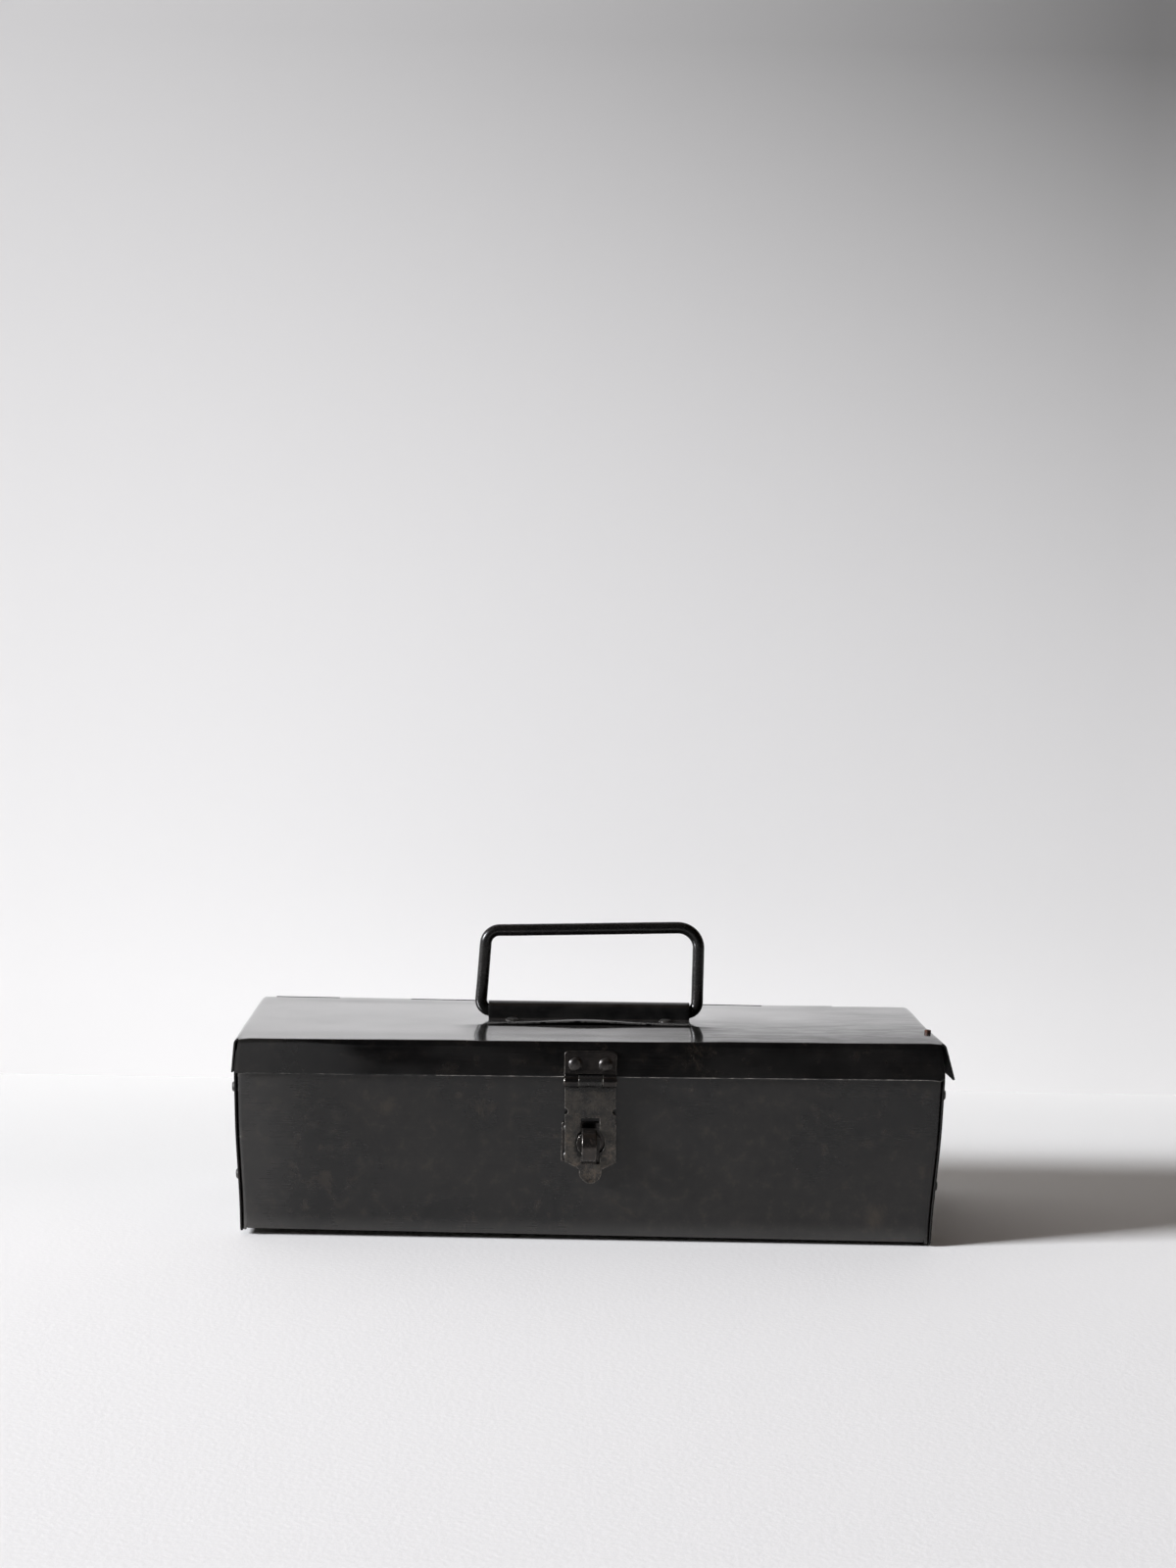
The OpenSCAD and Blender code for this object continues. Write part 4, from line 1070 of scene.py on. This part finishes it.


# Painted shade: the wall's colour darkens as light does away from a window. The wall shows only
# from its front
def wallPaintedShade():
    material, tree = newMaterial("wall_with_painted_shade")
    point = addNode(tree, "TexCoord").outputs["Object"]
    spot = addNode(tree, "SeparateXYZ", None, {0: point})
    right = addNode(tree, "MapRange", {
        "From Min": stage["wallAcross"][0], "From Max": stage["wallAcross"][1]},
        {"Value": spot.outputs["X"]})
    up = addNode(tree, "MapRange", {"From Max": stage["wallUp"], "To Max": 1.0},
                 {"Value": spot.outputs["Z"]})
    curve = addNode(tree, "Math", {"operation": "POWER", 1: stage["upPower"]}, {0: up})
    slope = addNode(tree, "MapRange", {"To Min": stage["upLeft"], "To Max": stage["upRight"]},
                    {"Value": right})
    beyond = addNode(tree, "MapRange", {
        "From Min": stage["beyondBand"][0], "From Max": stage["beyondBand"][1],
        "To Max": stage["beyond"]}, {"Value": spot.outputs["X"]})
    middle = addNode(tree, "Math", {"operation": "SUBTRACT", 1: 0.5}, {0: right})
    side = addNode(tree, "Math", {"operation": "MULTIPLY"}, {0: middle, 1: middle})
    base = addNode(tree, "Math", {"operation": "MULTIPLY_ADD", 1: stage["ends"]},
                   {0: side, 2: beyond})
    low = addNode(tree, "MapRange", {
        "From Min": stage["lowBand"], "From Max": 0.0, "To Max": stage["low"]},
        {"Value": spot.outputs["Z"]})
    near = addNode(tree, "Math", {"operation": "ADD"}, {0: base, 1: low})
    drop = addNode(tree, "Math", {"operation": "MULTIPLY_ADD"}, {0: curve, 1: slope, 2: near})
    colour = addNode(tree, "Mix", {
        "data_type": "RGBA", 6: linear(stage["wall"]), 7: stage["wallDark"]}, {0: drop})
    paint = addNode(tree, "BsdfDiffuse", None, {"Color": colour})
    clear = addNode(tree, "BsdfTransparent")
    facing = addNode(tree, "NewGeometry")
    oneSided = addNode(tree, "MixShader", None, {
        0: facing.outputs["Backfacing"], 1: paint, 2: clear})
    addNode(tree, "OutputMaterial", None, {"Surface": oneSided})
    return material


def blackCloth():
    material, tree = newMaterial("black_studio_cloth")
    paint = addNode(tree, "BsdfDiffuse", {"Color": linear(stage["flag"])})
    addNode(tree, "OutputMaterial", None, {"Surface": paint})
    return material


def windowLight():
    lamp = bpy.data.lights.new("left_window", "AREA")
    lamp.shape = "RECTANGLE"
    lamp.size, lamp.size_y = stage["windowSize"]
    lamp.energy = stage["windowPower"]
    lamp.color = linear(stage["window"])[:3]
    obj = newObject("left_window", lamp)
    obj.location = stage["windowPlace"]
    toBox = Vector(stage["windowAim"]) - Vector(stage["windowPlace"])
    obj.rotation_euler = toBox.to_track_quat("-Z", "Y").to_euler()


# The camera sees a pale room past the wall; everything else gets the dim warm fill
def fillRoom():
    world = bpy.data.worlds.new("room")
    bpy.context.scene.world = world
    world.use_nodes = True
    tree = world.node_tree
    rays = addNode(tree, "LightPath")
    room = addNode(tree, "Mix", {
        "data_type": "RGBA", 6: linear(stage["world"]), 7: linear(stage["room"])},
        {0: rays.outputs["Is Camera Ray"]})
    background = tree.nodes["Background"]
    tree.links.new(room.outputs[2], background.inputs["Color"])
    background.inputs["Strength"].default_value = 1.0


print("stage and light")
stagePlane("floor", [(-9, -9, 0), (9, -9, 0), (9, 9, 0), (-9, 9, 0)], floorPaintedLight())
y = stage["wallY"]
stagePlane("back_wall", [(-4, y, 0), (4, y, 0), (4, y, 3), (-4, y, 3)], wallPaintedShade())
# a dark flag behind the camera: the upright lip mirrors it, as it does the dim side of a room
y = stage["flagY"]
flag = stagePlane("dark_flag", [(-2, y, 0.0), (3, y, 0.0), (3, y, 2.5), (-2, y, 2.5)],
                  blackCloth())
flag.visible_camera = False
windowLight()
fillRoom()
bpy.context.scene.view_settings.view_transform = "Standard"


# Camera at the photograph's place: position in mm, pitch, roll and yaw in radians

view = {"place": (-28.57, -1298.91, 340.25), "pitch": 0.08395, "roll": 0.02265, "yaw": -0.01948,
        "lens": 50.0, "sensor": 32.0}


def makeCamera():
    camera = bpy.data.cameras.new("camera")
    camera.lens = view["lens"]
    camera.sensor_width = view["sensor"]
    camera.sensor_fit = "AUTO"
    camera.dof.use_dof = False
    obj = newObject("camera", camera)
    c, s = math.cos(view["yaw"]), math.sin(view["yaw"])
    yaw = Matrix(((c, s, 0), (-s, c, 0), (0, 0, 1)))
    c, s = math.cos(view["pitch"]), math.sin(view["pitch"])
    pitch = Matrix(((1, 0, 0), (0, c, -s), (0, s, c)))
    c, s = math.cos(view["roll"]), math.sin(view["roll"])
    roll = Matrix(((c, 0, s), (0, 1, 0), (-s, 0, c)))
    toView = roll @ pitch @ yaw          # rows: right, ahead, up
    axes = Matrix((toView[0], toView[2], -toView[1]))
    obj.matrix_world = Matrix.Translation(Vector(view["place"]) * mm) @ axes.transposed().to_4x4()
    bpy.context.scene.camera = obj


print("camera")
makeCamera()

bpy.context.view_layer.update()
